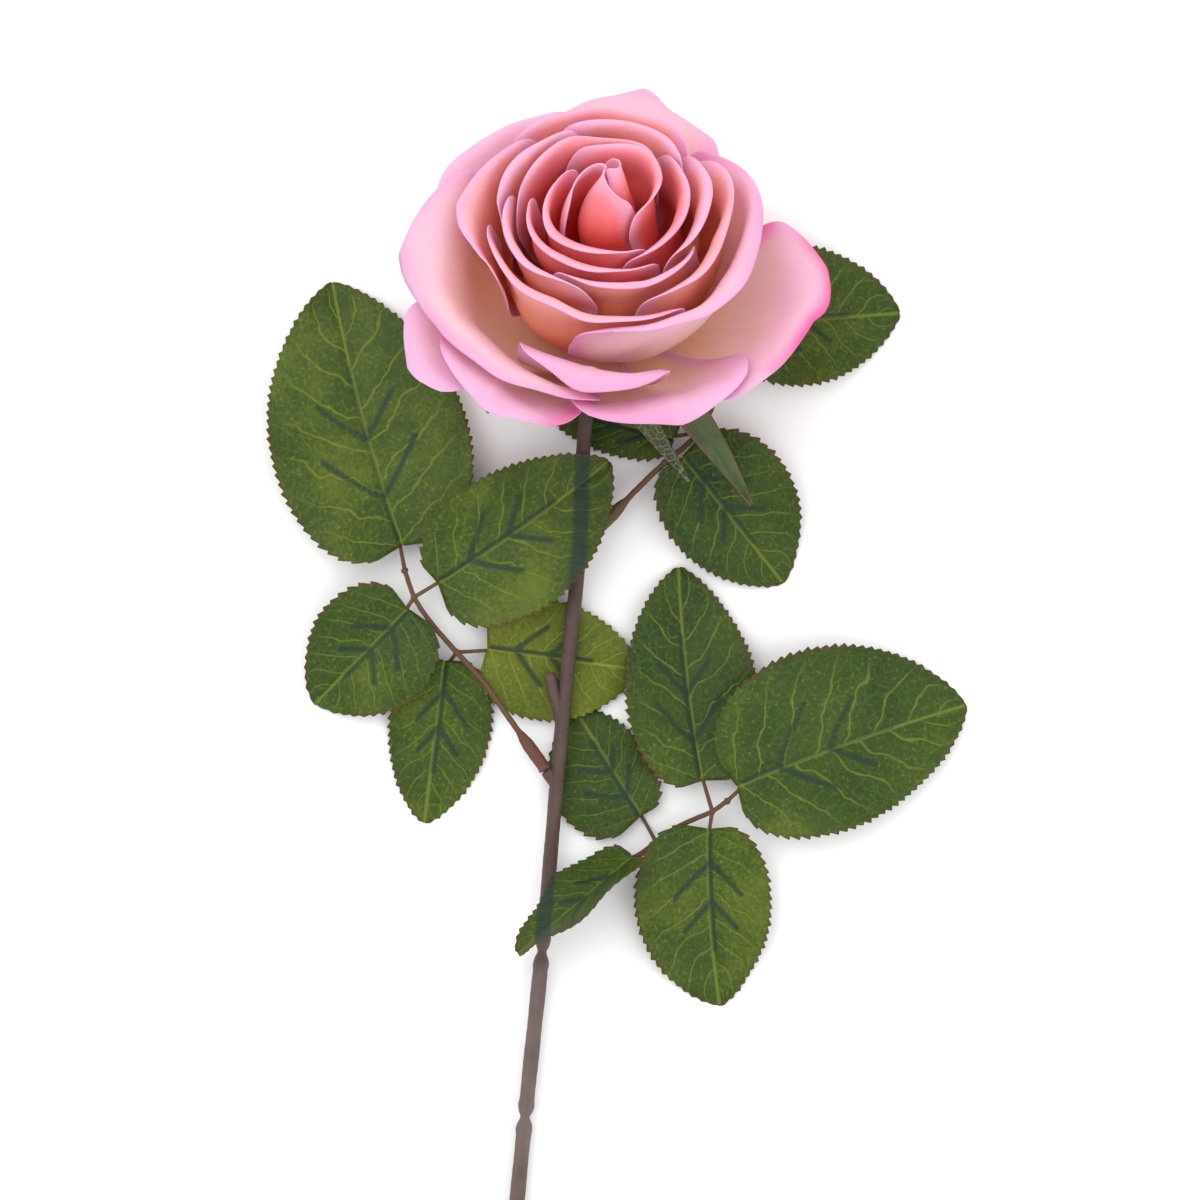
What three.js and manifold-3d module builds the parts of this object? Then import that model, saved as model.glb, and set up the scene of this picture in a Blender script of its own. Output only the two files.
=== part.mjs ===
// An artificial cut rose, lying on a table with its open head turned up.
// Millimetres, +Z up. The stem runs along +Y from its cut end to the head, and the origin is the
// bottom centre of the whole rose's box, so that z = 0 is the surface it lies on.
import * as THREE from "three";
import Module from "manifold-3d";
import { mergeVertices } from "three/addons/utils/BufferGeometryUtils.js";

const wasm = await Module();
wasm.setup();

// ---------------------------------------------------------------- driving dimensions
const HEAD_RADIUS = 53; // flower's axis to the rim of its outer petals
const HEAD_TILT = 32; // degrees, flower's axis away from straight up, towards the far end
const CUT_STEM_LENGTH = 272; // from y = 0 down to the cut end
const STEM_RADIUS = 2.05;
const LEAF_PASS = 3.95; // clear height under the stem's leafy stretch, where leaves pass
const STEM_HEIGHT = LEAF_PASS + STEM_RADIUS; // of its centre line there
const STEM_NECK_SHARE = 0.62; // moulded necks, as a share of the stem's radius
const STEM_NECK_PITCH = 45; // from neck to neck
const FIRST_NECK_Y = -95.7;
const LAST_NECK_Y = 10 - CUT_STEM_LENGTH; // no neck is nearer the cut end than this
const RACHIS_RADIUS = 0.75;
const SLEEVE_RADIUS = 1.75; // socket end of a leaf spray
const SLEEVE_LENGTH = 13;
const PEG_RADIUS = 0.9; // the stem's peg that a spray is pushed on
const PEG_LENGTH = 5;
const SLEEVE_START = STEM_RADIUS + 2.2; // from the stem's centre line to a sleeve's mouth
const FIT_GAP = 0.35; // between pieces that touch or fit in each other
const SMALLEST_EDGE = 0.03; // left by a union of moulded bars
const LEAF_THICKNESS = 0.5;
const SEPAL_THICKNESS = 0.6;
const LEAF_WIDTH_SCALE = 1;
const RIB_RADIUS = 0.45;
const PETAL_THICKNESS = 0.6;
const RECEPTACLE_RADIUS = 6.2;
const RECEPTACLE_LENGTH = 9;
const STEM_SEAT = 2.5; // depth of the stem's end in the receptacle
const CORE_RADIUS = 2.2; // the post that the petals are threaded on
const CORE_TOP = 14;
const PETAL_BASE_RADIUS = CORE_RADIUS + 0.45;

const RIGHT = new THREE.Vector3(1, 0, 0);
const UP = new THREE.Vector3(0, 0, 1);
const rad = THREE.MathUtils.degToRad;
const lerp = THREE.MathUtils.lerp;
const clamp = THREE.MathUtils.clamp;
const vec = (x, y, z) => new THREE.Vector3(x, y, z);

// ---------------------------------------------------------------- materials
const paint = (color, roughness, metalness = 0) =>
  new THREE.MeshStandardMaterial({ color, roughness, metalness });
const MATERIALS = {
  innerPetal: paint(0xf59a96, 0.75),
  middlePetal: paint(0xf3a6b4, 0.75),
  outerPetal: paint(0xe8b4d0, 0.75),
  leaf: paint(0x4c6a1e, 0.55),
  youngLeaf: paint(0x8b9326, 0.55),
  sepal: paint(0x4a6b22, 0.4),
  stem: paint(0x5a4340, 0.5),
  rachis: paint(0x6d4038, 0.5),
};

// ---------------------------------------------------------------- solids
// A closed sheet of one thickness. pointAt(a, b) gives its middle surface for a and b from 0 to 1.
function sheet(pointAt, columns, rows, thickness) {
  const across = columns + 1;
  const count = across * (rows + 1);
  const middle = [];
  for (let j = 0; j <= rows; j++)
    for (let i = 0; i <= columns; i++) middle.push(pointAt(i / columns, j / rows));
  const at = (i, j) => middle[clamp(j, 0, rows) * across + clamp(i, 0, columns)];
  const positions = new Float32Array(count * 6);
  for (let j = 0; j <= rows; j++)
    for (let i = 0; i <= columns; i++) {
      const alongA = at(i + 1, j).clone().sub(at(i - 1, j));
      const alongB = at(i, j + 1).clone().sub(at(i, j - 1));
      const half = alongA.cross(alongB).setLength(thickness / 2);
      const k = j * across + i;
      at(i, j).clone().add(half).toArray(positions, k * 3);
      at(i, j).clone().sub(half).toArray(positions, (count + k) * 3);
    }
  const index = [];
  const quad = (a, b, c, d) => index.push(a, b, c, a, c, d);
  for (let j = 0; j < rows; j++)
    for (let i = 0; i < columns; i++) {
      const k = j * across + i;
      quad(k, k + 1, k + 1 + across, k + across);
      quad(count + k, count + k + across, count + k + 1 + across, count + k + 1);
    }
  const wall = (a, b) => quad(b, a, count + a, count + b);
  for (let i = 0; i < columns; i++) {
    wall(i, i + 1);
    wall(rows * across + i + 1, rows * across + i);
  }
  for (let j = 0; j < rows; j++) {
    wall((j + 1) * across, j * across);
    wall(j * across + columns, (j + 1) * across + columns);
  }
  return new THREE.BufferGeometry()
    .setAttribute("position", new THREE.BufferAttribute(positions, 3))
    .setIndex(index);
}

// A closed tube along a curve: rings at the given places from 0 to 1, with a radius at each.
function sweep(curve, places, radiusAt, sides) {
  const positions = [];
  for (const t of places) {
    const centre = curve.getPointAt(t);
    const along = curve.getTangentAt(t);
    const side = along.clone().cross(Math.abs(along.z) > 0.9 ? RIGHT : UP).normalize();
    const up = side.clone().cross(along);
    for (let k = 0; k < sides; k++) {
      const turn = (k / sides) * 2 * Math.PI;
      const spoke = side.clone().multiplyScalar(Math.cos(turn)).addScaledVector(up, Math.sin(turn));
      positions.push(...centre.clone().addScaledVector(spoke, radiusAt(t)).toArray());
    }
  }
  const index = [];
  const last = (places.length - 1) * sides;
  for (let i = 0; i < last; i += sides)
    for (let k = 0; k < sides; k++) {
      const a = i + k;
      const b = i + ((k + 1) % sides);
      index.push(a, b + sides, b, a, a + sides, b + sides);
    }
  for (let k = 1; k < sides - 1; k++) {
    index.push(0, k, k + 1);
    index.push(last, last + k + 1, last + k);
  }
  return new THREE.BufferGeometry()
    .setAttribute("position", new THREE.Float32BufferAttribute(positions, 3))
    .setIndex(index);
}

function tube(points, radiusAt, steps, sides) {
  const curve = new THREE.CatmullRomCurve3(points, false, "centripetal");
  const places = Array.from({ length: steps + 1 }, (_, i) => i / steps);
  return sweep(curve, places, radiusAt, sides);
}

function solidOf(geometry) {
  const bare = new THREE.BufferGeometry()
    .setAttribute("position", geometry.getAttribute("position"))
    .setIndex(geometry.index);
  const merged = mergeVertices(bare, 1e-4);
  const vertProperties = new Float32Array(merged.attributes.position.array);
  const triVerts = new Uint32Array(merged.index.array);
  return new wasm.Manifold(new wasm.Mesh({ numProp: 3, vertProperties, triVerts }));
}

function geometryOf(solid) {
  const { vertProperties, triVerts } = solid.getMesh();
  return new THREE.BufferGeometry()
    .setAttribute("position", new THREE.BufferAttribute(vertProperties, 3))
    .setIndex(new THREE.BufferAttribute(triVerts, 1));
}

const rose = new THREE.Group();

function add(name, geometry, material) {
  const mesh = new THREE.Mesh(geometry, material);
  mesh.name = name;
  rose.add(mesh);
}

// Keeps a point of a soft sheet above the table, softly, so that nested sheets stay in order.
function rest(point, lowest) {
  const softness = 0.6;
  const above = (point.z - lowest) / softness;
  point.z = lowest + softness * (above > 20 ? above : Math.log1p(Math.exp(above)));
  return point;
}

// ---------------------------------------------------------------- the head's frame
const HEAD_SCALE = HEAD_RADIUS / 53;
const tilt = rad(HEAD_TILT);
const headAxis = vec(0, Math.sin(tilt), Math.cos(tilt));
const headFar = vec(0, Math.cos(tilt), -Math.sin(tilt));
const headBase = vec(1, 84.5, STEM_HEIGHT + 21 * HEAD_SCALE);
// A point at radius r and height h of the head, azimuth 0 to the right and 90 degrees to the far end.
function inHead(r, azimuth, h) {
  return headBase
    .clone()
    .addScaledVector(vec(1, 0, 0), r * Math.cos(azimuth))
    .addScaledVector(headFar, r * Math.sin(azimuth))
    .addScaledVector(headAxis, h);
}

// ---------------------------------------------------------------- petals
// The meridian of each level, from the bud outwards, as the five Bezier points after its foot:
// radius and height.
const MERIDIANS = [
  [[8, 3], [10.5, 20], [9.5, 36], [4, 43], [3.4, 47]],
  [[15.5, 3], [18, 17], [12.5, 31], [13, 40], [17.5, 36.5]],
  [[20, 0], [22.5, 14], [17.5, 28], [18, 39], [22.5, 35.5]],
  [[25, -3], [28, 11], [22.5, 26], [23.5, 38], [28, 34.5]],
  [[29, -6], [33, 8], [28, 22], [29.5, 36.5], [34.8, 31.5]],
  [[32, -9], [37, 4], [33.5, 17], [36, 32], [43.5, 25]],
  [[33.5, -12], [40, 1], [40, 11], [45.5, 21], [52.5, 10]],
  [[34, -15.5], [42, -3], [46, 4], [52, 8], [58, 1.5]],
];
const LAST_LEVEL = 7.5;
const FOOT_STEP = 1.6; // each level's foot is this much lower than the one inside it
const SPIRAL = 0.34; // levels that a petal winds outwards in one radian
const ROLL_RADIUS = 3.2; // of the rolled rims
const WIDEST = 0.55; // share of a petal's height where it is widest
const FOOT_SPREAD = 0.42; // share of its spread at the foot
const ROUNDNESS = 0.44; // of the rim: 0 is square, 0.5 is a half circle
const PEAK_WIDTH = 0.5; // of a rim's peak, in half widths of the petal

// Each petal: its level, its azimuth, how far it spreads to each side, and where across it its rim
// peaks, if it does, by what share of its height. Its reach is its share of the meridian.
const petal = (level, azimuth, spread, peak = 0, height = 0, reach = 1) => ({
  level,
  azimuth: rad(azimuth),
  spread: rad(spread),
  peak,
  height,
  reach,
});
const WHORLS = [
  { name: "bud", roll: 12, petals: [petal(0, 262, 82, 0.1, 0.06), petal(0, 20, 80), petal(0, 140, 80)] },
  { name: "heart", roll: 30, petals: [petal(1, 222, 100), petal(1.1, 42, 88)] },
  { name: "inner", roll: 30, petals: [petal(2, 240, 76), petal(2, 112, 76), petal(2.08, 352, 66)] },
  {
    name: "middle",
    roll: 30,
    petals: [petal(3, 215, 50), petal(3, 287, 54), petal(3, 358, 48), petal(3, 75, 48), petal(3, 145, 45)],
  },
  {
    name: "wide",
    roll: 35,
    petals: [petal(4, 245, 66), petal(4, 168, 48, 0.1, 0.08), petal(4, 88, 52), petal(4, 345, 60)],
  },
  {
    name: "outer",
    roll: 40,
    petals: [
      petal(4.83, 332, 82),
      petal(5.7, 206, 66, -0.45, 0.2),
      petal(5.62, 134, 38, 0.1, 0.05),
      petal(6.3, 80, 36, 0, 0.2),
      petal(5.55, 264, 30),
    ],
  },
  {
    name: "skirt",
    roll: 30,
    petals: [
      petal(7.08, 343, 43, 0.55, 0.25, 0.95),
      petal(6.48, 292, 35, 0, 0.03, 0.94),
      petal(6.6, 234, 28, 0, 0.03, 0.94),
      petal(7, 208, 18, 0, 0.05),
    ],
  },
];

// Radius and height on the meridian of a level, which may lie between two of them.
function meridian(level, t) {
  const low = clamp(Math.floor(level), 0, MERIDIANS.length - 2);
  const mix = (k, c) => lerp(MERIDIANS[low][k][c], MERIDIANS[low + 1][k][c], level - low) * HEAD_SCALE;
  let points = MERIDIANS[low].map((_, k) => [mix(k, 0), mix(k, 1)]);
  points.unshift([PETAL_BASE_RADIUS, -FOOT_STEP * level * HEAD_SCALE]);
  while (points.length > 1) {
    points = points.slice(1).map((q, k) => [lerp(points[k][0], q[0], t), lerp(points[k][1], q[1], t)]);
  }
  return points[0];
}

// A petal's unrolled surface, for x across from -1 to 1 and y from -1 at the foot to 1 at the rim.
function petalSurface({ level, azimuth, spread, peak, height, reach }, x, y) {
  const foot = y < 0 ? lerp(FOOT_SPREAD, 1, Math.sin(((1 + y) * Math.PI) / 2)) : 1;
  const turn = x * spread * foot;
  const peaked = reach + height * Math.max(0, 1 - Math.abs(x - peak) / PEAK_WIDTH) * Math.max(0, y);
  const t = peaked * (y < 0 ? WIDEST * (1 + y) : WIDEST + (1 - WIDEST) * y);
  const [r, h] = meridian(level + SPIRAL * turn, t);
  return inHead(r, azimuth + turn, h);
}

// The petal with its rim rolled outwards, for a across and b up from 0 to 1.
function petalPoint(shape, roll, a, b) {
  const u = 2 * a - 1;
  const v = b < WIDEST ? b / WIDEST - 1 : (b - WIDEST) / (1 - WIDEST);
  const x = v < 0 ? u : u * Math.sqrt(1 - ROUNDNESS * v * v);
  const y = v < 0 ? v : v * Math.sqrt(1 - ROUNDNESS * u * u);
  const other = ROUNDNESS / (1 - ROUNDNESS);
  const edge = v < 0 ? Math.abs(x) : Math.sqrt(Math.max(x * x + other * y * y, y * y + other * x * x));
  const start = 0.72;
  const strength = roll * (v < 0 ? (1 + v) ** 2 : 1);
  if (edge <= start || strength < 0.01) return petalSurface(shape, x, y);
  const bend = ((edge - start) / (1 - start)) * strength;
  const kept = (start + ((1 - start) * Math.sin(bend)) / strength) / edge;
  const [rolledX, rolledY] = [x * kept, v < 0 ? y : y * kept];
  const step = 0.01;
  const point = petalSurface(shape, rolledX, rolledY);
  const across = petalSurface(shape, rolledX + step, rolledY).sub(point);
  const upward = petalSurface(shape, rolledX, rolledY + step).sub(point);
  const outward = across.cross(upward).normalize();
  return point.addScaledVector(outward, ROLL_RADIUS * HEAD_SCALE * (1 - Math.cos(bend)));
}

function addPetals() {
  const inks = [MATERIALS.innerPetal, MATERIALS.middlePetal, MATERIALS.outerPetal];
  WHORLS.forEach(({ name, roll, petals }, whorl) => {
    const ink = inks[Math.floor(whorl / 2.4)];
    petals.forEach((shape, n) => {
      const lowest = PETAL_THICKNESS / 2 + (LAST_LEVEL - shape.level) * (PETAL_THICKNESS + FIT_GAP);
      const pointAt = (a, b) => rest(petalPoint(shape, rad(roll), a, b), lowest);
      const columns = Math.ceil(shape.spread / rad(8));
      add(`petal_${name}_${n + 1}`, sheet(pointAt, Math.max(columns, 6), 7, PETAL_THICKNESS), ink);
    });
  });
}

// The receptacle's top and foot, just under the lowest petals.
const HIP_TOP = -FOOT_STEP * LAST_LEVEL * HEAD_SCALE - PETAL_THICKNESS / 2 - FIT_GAP;
const HIP_FOOT = HIP_TOP - RECEPTACLE_LENGTH;

// ---------------------------------------------------------------- leaves
const LEAF_SHAPE = 2.32; // makes the outline's greatest half width 1
function leafOutline(s) {
  return LEAF_SHAPE * Math.sqrt(s) * (1 - s) ** 0.75;
}

// A leaf's middle surface: s along its midrib, w from -1 at its right edge to 1 at its left edge.
function leafPoint(leaf, s, w) {
  const { base, tip, bow = 0, rise = 0, roll = 0, fold = 8, left, right, lobe = 0.1 } = leaf;
  const flat = tip.clone().sub(base).setZ(0).normalize();
  const sideways = UP.clone().cross(flat);
  const middle = base.clone().lerp(tip, 0.5).addScaledVector(sideways, bow).addScaledVector(UP, rise);
  const curve = new THREE.QuadraticBezierCurve3(base, middle, tip);
  const along = curve.getTangent(s);
  const side = UP.clone().cross(along).normalize().applyAxisAngle(along, rad(roll));
  const up = along.clone().cross(side);
  const half = Math.max((w > 0 ? left : right) * LEAF_WIDTH_SCALE * leafOutline(s), 0.4);
  const reach = Math.abs(w) * half;
  const point = curve.getPoint(s);
  point.addScaledVector(side, Math.sign(w) * reach * Math.cos(rad(fold)));
  point.addScaledVector(up, reach * Math.sin(rad(fold)));
  point.addScaledVector(along, -lobe * reach * (1 - s) ** 4 * 4);
  const rim = clamp(Math.max(Math.abs(w), (s - 0.3) / 0.7), 0, 1) ** 3;
  return rest(point, lerp(RIB_CLEAR + 2 * RIB_RADIUS, LEAF_THICKNESS / 2, rim));
}
const RIB_DROP = LEAF_THICKNESS / 2 + FIT_GAP + RIB_RADIUS; // rib's centre under the leaf's middle
const RIB_CLEAR = LEAF_THICKNESS / 2 + FIT_GAP;

function leafNormal(leaf, s, w) {
  const d = 0.01;
  const point = leafPoint(leaf, s, w);
  const alongStep = leafPoint(leaf, s + d, w).sub(point);
  const sideStep = leafPoint(leaf, s, w + d).sub(point);
  return alongStep.cross(sideStep).normalize();
}

// Each leaf: its base and tip, how its midrib bows to the left and rises, how far it is rolled about
// the midrib and folded up along it, and its widths to the left and right of the midrib.
const LEAVES = {
  left_end: {
    base: vec(-53.6, 15, 7),
    tip: vec(-73, 86.6, 0),
    bow: 3, left: 26.5, right: 27, rise: 2,
  },
  left_upper: {
    base: vec(-43.7, 4.6, 8.5),
    tip: vec(2.4, 37.5, 11),
    bow: -2, left: 17, right: 21, rise: 3,
  },
  left_outer: {
    base: vec(-52.3, -2.5, 8),
    tip: vec(-77.7, -28.4, 2),
    left: 18, right: 16, rise: 2,
  },
  left_lower: {
    base: vec(-42.3, -16.8, 4.2),
    tip: vec(-48, -60.8, -1),
    left: 14.5, right: 12.5, fold: 1,
  },
  left_inner: {
    base: vec(-30.4, -13.4, 4.2),
    tip: vec(10.7, -19, 1.2),
    left: 15, right: 17, fold: 4, young: true,
  },
  right_upper: {
    base: vec(27.8, -48.8, 6),
    tip: vec(21.4, 8.8, 1),
    bow: 2, left: 17, right: 18.5,
  },
  right_end: {
    base: vec(37.4, -50.5, 8.5),
    tip: vec(100, -28.7, 0),
    bow: 2, left: 28, right: 21.5, rise: 2,
  },
  right_lower: {
    base: vec(29.2, -62.4, 8),
    tip: vec(32.7, -110.7, 0),
    bow: -2, left: 16.5, right: 20,
  },
  right_inner: {
    base: vec(11.2, -58.5, 2.4),
    tip: vec(-7.3, -29.1, -1),
    left: 18, right: 10, fold: 1,
  },
  right_stem: {
    base: vec(8.6, -69.4, 11),
    tip: vec(-22.2, -95.1, 15),
    roll: 62, fold: 14, left: 12, right: 12, rise: 7,
  },
  upper_near: {
    base: vec(22.5, 38.6, 7),
    tip: vec(50, 4.6, 0),
    left: 20, right: 16,
  },
  upper_under: {
    base: vec(20, 43.9, 3.8),
    tip: vec(-16.6, 54.1, 0),
    left: 8.5, right: 14,
  },
  upper_far: {
    base: vec(37, 74.5, 5),
    tip: vec(81.7, 78.3, 0),
    left: 20, right: 17.5,
  },
};

function addLeaves() {
  for (const [name, leaf] of Object.entries(LEAVES)) {
    const pointAt = (a, b) => leafPoint(leaf, a ** 1.5, 2 * b - 1);
    const material = leaf.young ? MATERIALS.youngLeaf : MATERIALS.leaf;
    add(`leaf_${name}`, sheet(pointAt, 8, 4, LEAF_THICKNESS), material);
  }
}

// The plastic ribs under a leaf: one along the midrib and two pairs to the sides.
const RIB_END = 0.68;
const SIDE_RIBS = [
  { s: 0.18, reach: 0.2, w: 0.5 },
  { s: 0.4, reach: 0.16, w: 0.42 },
];
function ribsOf(leaf) {
  const under = (s, w) => leafPoint(leaf, s, w).addScaledVector(leafNormal(leaf, s, w), -RIB_DROP);
  const spine = [0.03, 0.2, 0.36, 0.52, RIB_END].map((s) => under(s, 0));
  const parts = [solidOf(tube(spine, (t) => RIB_RADIUS * (1.25 - 0.5 * t), 4, 5))];
  for (const { s, reach, w } of SIDE_RIBS)
    for (const side of [-1, 1]) {
      const points = [under(s, 0), under(s + reach / 2, (side * w) / 2), under(s + reach, side * w)];
      parts.push(solidOf(tube(points, (t) => RIB_RADIUS * (0.9 - 0.4 * t), 2, 4)));
    }
  return parts;
}

// ---------------------------------------------------------------- leaf sprays
const SPRAYS = {
  left: {
    joint: vec(-12.3, -49.5, STEM_HEIGHT),
    route: [vec(-25.5, -30.8, 7.5), vec(-32.2, -21.4, 7), vec(-38.9, -14.2, 6.8), vec(-46.9, -4.8, 6.8)],
    ends: [vec(-50.4, 0.8, 6.8), vec(-53, 8, 6.5)],
    twigs: [["left_end", 5], ["left_upper", 4], ["left_outer", 4], ["left_lower", 2], ["left_inner", 2]],
  },
  right: {
    joint: vec(-14, -83.6, STEM_HEIGHT - 0.6),
    route: [vec(1.3, -74, 6), vec(9.4, -70, 5.8), vec(15.3, -65.9, 5.5), vec(22.2, -61.1, 5.5)],
    ends: [vec(30.5, -57.4, 6), vec(34.5, -54.6, 6.5)],
    twigs: [["right_end", 5], ["right_upper", 4], ["right_lower", 4], ["right_inner", 2], ["right_stem", 1]],
  },
  upper: {
    joint: vec(-4.5, 15.2, STEM_HEIGHT),
    route: [vec(12, 32, 7), vec(17.5, 37.2, 6.5), vec(26.8, 45.6, 5), vec(33, 59, 4.6)],
    ends: [vec(35.5, 67, 4.6), vec(36.3, 70.5, 4.6)],
    twigs: [["upper_far", 5], ["upper_near", 1], ["upper_under", 2]],
  },
};

const alongFrom = (start, towards) => {
  const away = towards.clone().sub(start).normalize();
  return (d) => start.clone().addScaledVector(away, d);
};

// One moulded spray: its socket sleeve, its rachis, and a twig and ribs under each leaf.
function spraySolid({ joint, route, ends, twigs }) {
  const from = alongFrom(joint, route[0]);
  const mouth = SLEEVE_START;
  const sleeveEnd = mouth + SLEEVE_LENGTH;
  const sleeve = [from(mouth), from(mouth + SLEEVE_LENGTH * 0.6), from(sleeveEnd)];
  const sleeveRadius = (t) => lerp(SLEEVE_RADIUS, RACHIS_RADIUS, clamp((t - 0.6) / 0.4, 0, 1) ** 1.5);
  const passed = sleeveEnd > route[0].distanceTo(joint) ? 1 : 0;
  const spine = [from(sleeveEnd - 1), ...route.slice(passed), ...ends];
  const parts = [
    solidOf(tube(sleeve, sleeveRadius, 5, 9)),
    solidOf(tube(spine, (t) => RACHIS_RADIUS * (1.1 - 0.25 * t), 14, 6)),
  ];
  const stops = [...route, ...ends];
  for (const [name, stop] of twigs) {
    const leaf = LEAVES[name];
    const start = stops[stop].clone();
    const end = leafPoint(leaf, 0.05, 0).addScaledVector(leafNormal(leaf, 0.05, 0), -RIB_DROP);
    const bend = start.clone().lerp(end, 0.5);
    bend.z = Math.min(bend.z, end.z);
    parts.push(solidOf(tube([start, bend, end], () => RACHIS_RADIUS * 0.75, 3, 5)), ...ribsOf(leaf));
  }
  const bottom = mouth + PEG_LENGTH + FIT_GAP;
  const socket = tube([from(mouth - 1), from(bottom)], () => PEG_RADIUS + FIT_GAP, 1, 8);
  return wasm.Manifold.union(parts).subtract(solidOf(socket)).simplify(SMALLEST_EDGE);
}

function addSprays() {
  for (const [name, spray] of Object.entries(SPRAYS))
    add(`leaf_spray_${name}`, geometryOf(spraySolid(spray)), MATERIALS.rachis);
}

// ---------------------------------------------------------------- stem
const cutEnd = vec(-32.7, -CUT_STEM_LENGTH, STEM_RADIUS);
const STEM_ROUTE = [
  cutEnd,
  vec(-20.4, -140.7, 3.6),
  vec(-15.8, -95.7, 4.8),
  vec(-11.8, -50.9, STEM_HEIGHT),
  vec(-9.1, -21.4, STEM_HEIGHT),
  vec(-5.4, 16.1, STEM_HEIGHT),
  vec(-4, 48, STEM_HEIGHT),
];

const stemTop = inHead(0, 0, HIP_FOOT);

// The stem's radius at a place along y: a little thicker to the cut end, narrow at each moulded neck.
function stemRadius(y) {
  const body = STEM_RADIUS * (y < FIRST_NECK_Y ? 1 : 0.94);
  const past = FIRST_NECK_Y - y;
  const n = Math.max(0, Math.round(past / STEM_NECK_PITCH));
  const off = Math.abs(past - n * STEM_NECK_PITCH);
  const nearCut = FIRST_NECK_Y - n * STEM_NECK_PITCH < LAST_NECK_Y;
  const necking = nearCut ? 0 : Math.exp(-((off / 1.3) ** 2));
  return body * (1 - (1 - STEM_NECK_SHARE) * necking);
}

// Places along the stem's curve: even steps, closer ones under the head, and five at each neck.
function stemPlaces(curve) {
  const length = curve.getLength();
  const places = Array.from({ length: 22 }, (_, i) => i / 21);
  for (let back = 3; back < 24; back += 3.5) places.push(1 - back / length);
  for (let y = FIRST_NECK_Y; y > LAST_NECK_Y; y -= STEM_NECK_PITCH) {
    let t = 0;
    while (curve.getPointAt(t).y < y) t += 0.0005;
    for (const off of [-2.6, -1.1, 0, 1.1, 2.6]) places.push(t + off / length);
  }
  places.sort((a, b) => a - b);
  return places.filter((t, i) => i === 0 || t - places[i - 1] > 0.7 / length);
}

function stemSolid() {
  const [bend, foot, seat] = [-7, -2.5, STEM_SEAT].map((h) => stemTop.clone().addScaledVector(headAxis, h));
  bend.add(vec(-1, -2.5, 0)).setZ(lerp(STEM_HEIGHT, foot.z, 0.25));
  const points = [...STEM_ROUTE, bend, foot, stemTop, seat];
  const curve = new THREE.CatmullRomCurve3(points, false, "centripetal");
  const radiusAt = (t) => stemRadius(curve.getPointAt(t).y);
  const parts = [solidOf(sweep(curve, stemPlaces(curve), radiusAt, 10))];
  for (const { joint, route } of Object.values(SPRAYS)) {
    const from = alongFrom(joint, route[0]);
    const mouth = SLEEVE_START - FIT_GAP;
    const spur = (t) => lerp(STEM_RADIUS * 0.85, SLEEVE_RADIUS, t);
    parts.push(solidOf(tube([from(0), from(mouth)], spur, 2, 8)));
    parts.push(solidOf(tube([from(mouth - 1), from(mouth + PEG_LENGTH)], () => PEG_RADIUS, 1, 8)));
  }
  const lift = vec(0, 0, STEM_HEIGHT);
  const stub = [vec(-9.8, -35, 0), vec(-12, -27, 0.2), vec(-13.7, -19.8, 0.4)].map((p) => p.add(lift));
  parts.push(solidOf(tube(stub, (t) => lerp(1.7, 1.55, t), 2, 8)));
  return wasm.Manifold.union(parts).simplify(SMALLEST_EDGE);
}

// ---------------------------------------------------------------- receptacle and sepals
function addReceptacle() {
  const bore = STEM_RADIUS + FIT_GAP;
  const profile = [
    [0, HIP_FOOT + STEM_SEAT + FIT_GAP],
    [bore, HIP_FOOT + STEM_SEAT + FIT_GAP],
    [bore, HIP_FOOT],
    [bore + 0.8, HIP_FOOT],
    [RECEPTACLE_RADIUS * 0.85, HIP_FOOT + RECEPTACLE_LENGTH * 0.3],
    [RECEPTACLE_RADIUS, HIP_FOOT + RECEPTACLE_LENGTH * 0.6],
    [RECEPTACLE_RADIUS * 0.92, HIP_TOP - 0.6],
    [RECEPTACLE_RADIUS * 0.8, HIP_TOP],
    [CORE_RADIUS, HIP_TOP],
    [CORE_RADIUS, CORE_TOP - 1],
    [CORE_RADIUS - 0.8, CORE_TOP],
    [0, CORE_TOP],
  ].map(([r, h]) => new THREE.Vector2(r, h));
  const turned = new THREE.LatheGeometry(profile, 16);
  const upright = new THREE.Quaternion().setFromUnitVectors(vec(0, 1, 0), headAxis);
  turned.applyQuaternion(upright).translate(...headBase.toArray());
  add("receptacle", geometryOf(solidOf(turned)), MATERIALS.sepal);
}

// Each sepal: its azimuth at the hip, its tip's azimuth, radius and height, and its half width.
const SEPALS = [
  { azimuth: -38, tip: [-48, 59.6, -40.6], half: 6.5 },
  { azimuth: -88, tip: [-63, 50.2, -28.1], half: 4.6 },
  { azimuth: -140, tip: [-142, 40, -24.8], half: 5 },
  { azimuth: 15, tip: [-21, 42.2, -27], half: 4.5 },
  { azimuth: 100, tip: [103, 34, -6.5], half: 5 },
];
function sepalPoint({ azimuth, tip, half }, s, w) {
  const [tipAzimuth, tipRadius, tipHeight] = tip;
  const start = inHead(RECEPTACLE_RADIUS + FIT_GAP + 0.3, rad(azimuth), HIP_TOP - 1.2);
  const knee = inHead(RECEPTACLE_RADIUS + 12, rad(azimuth), HIP_TOP - 3);
  const end = inHead(tipRadius * HEAD_SCALE, rad(tipAzimuth), tipHeight * HEAD_SCALE);
  const curve = new THREE.QuadraticBezierCurve3(start, knee, end);
  const along = curve.getTangent(s);
  const side = headAxis.clone().cross(along).normalize();
  const up = along.clone().cross(side);
  const reach = w * half * Math.max(1.9 * (s + 0.12) ** 0.6 * (1 - s) ** 0.8, 0.08);
  const point = curve.getPoint(s).addScaledVector(side, reach);
  return rest(point.addScaledVector(up, (-0.25 * reach * reach) / half), SEPAL_THICKNESS / 2);
}

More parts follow.
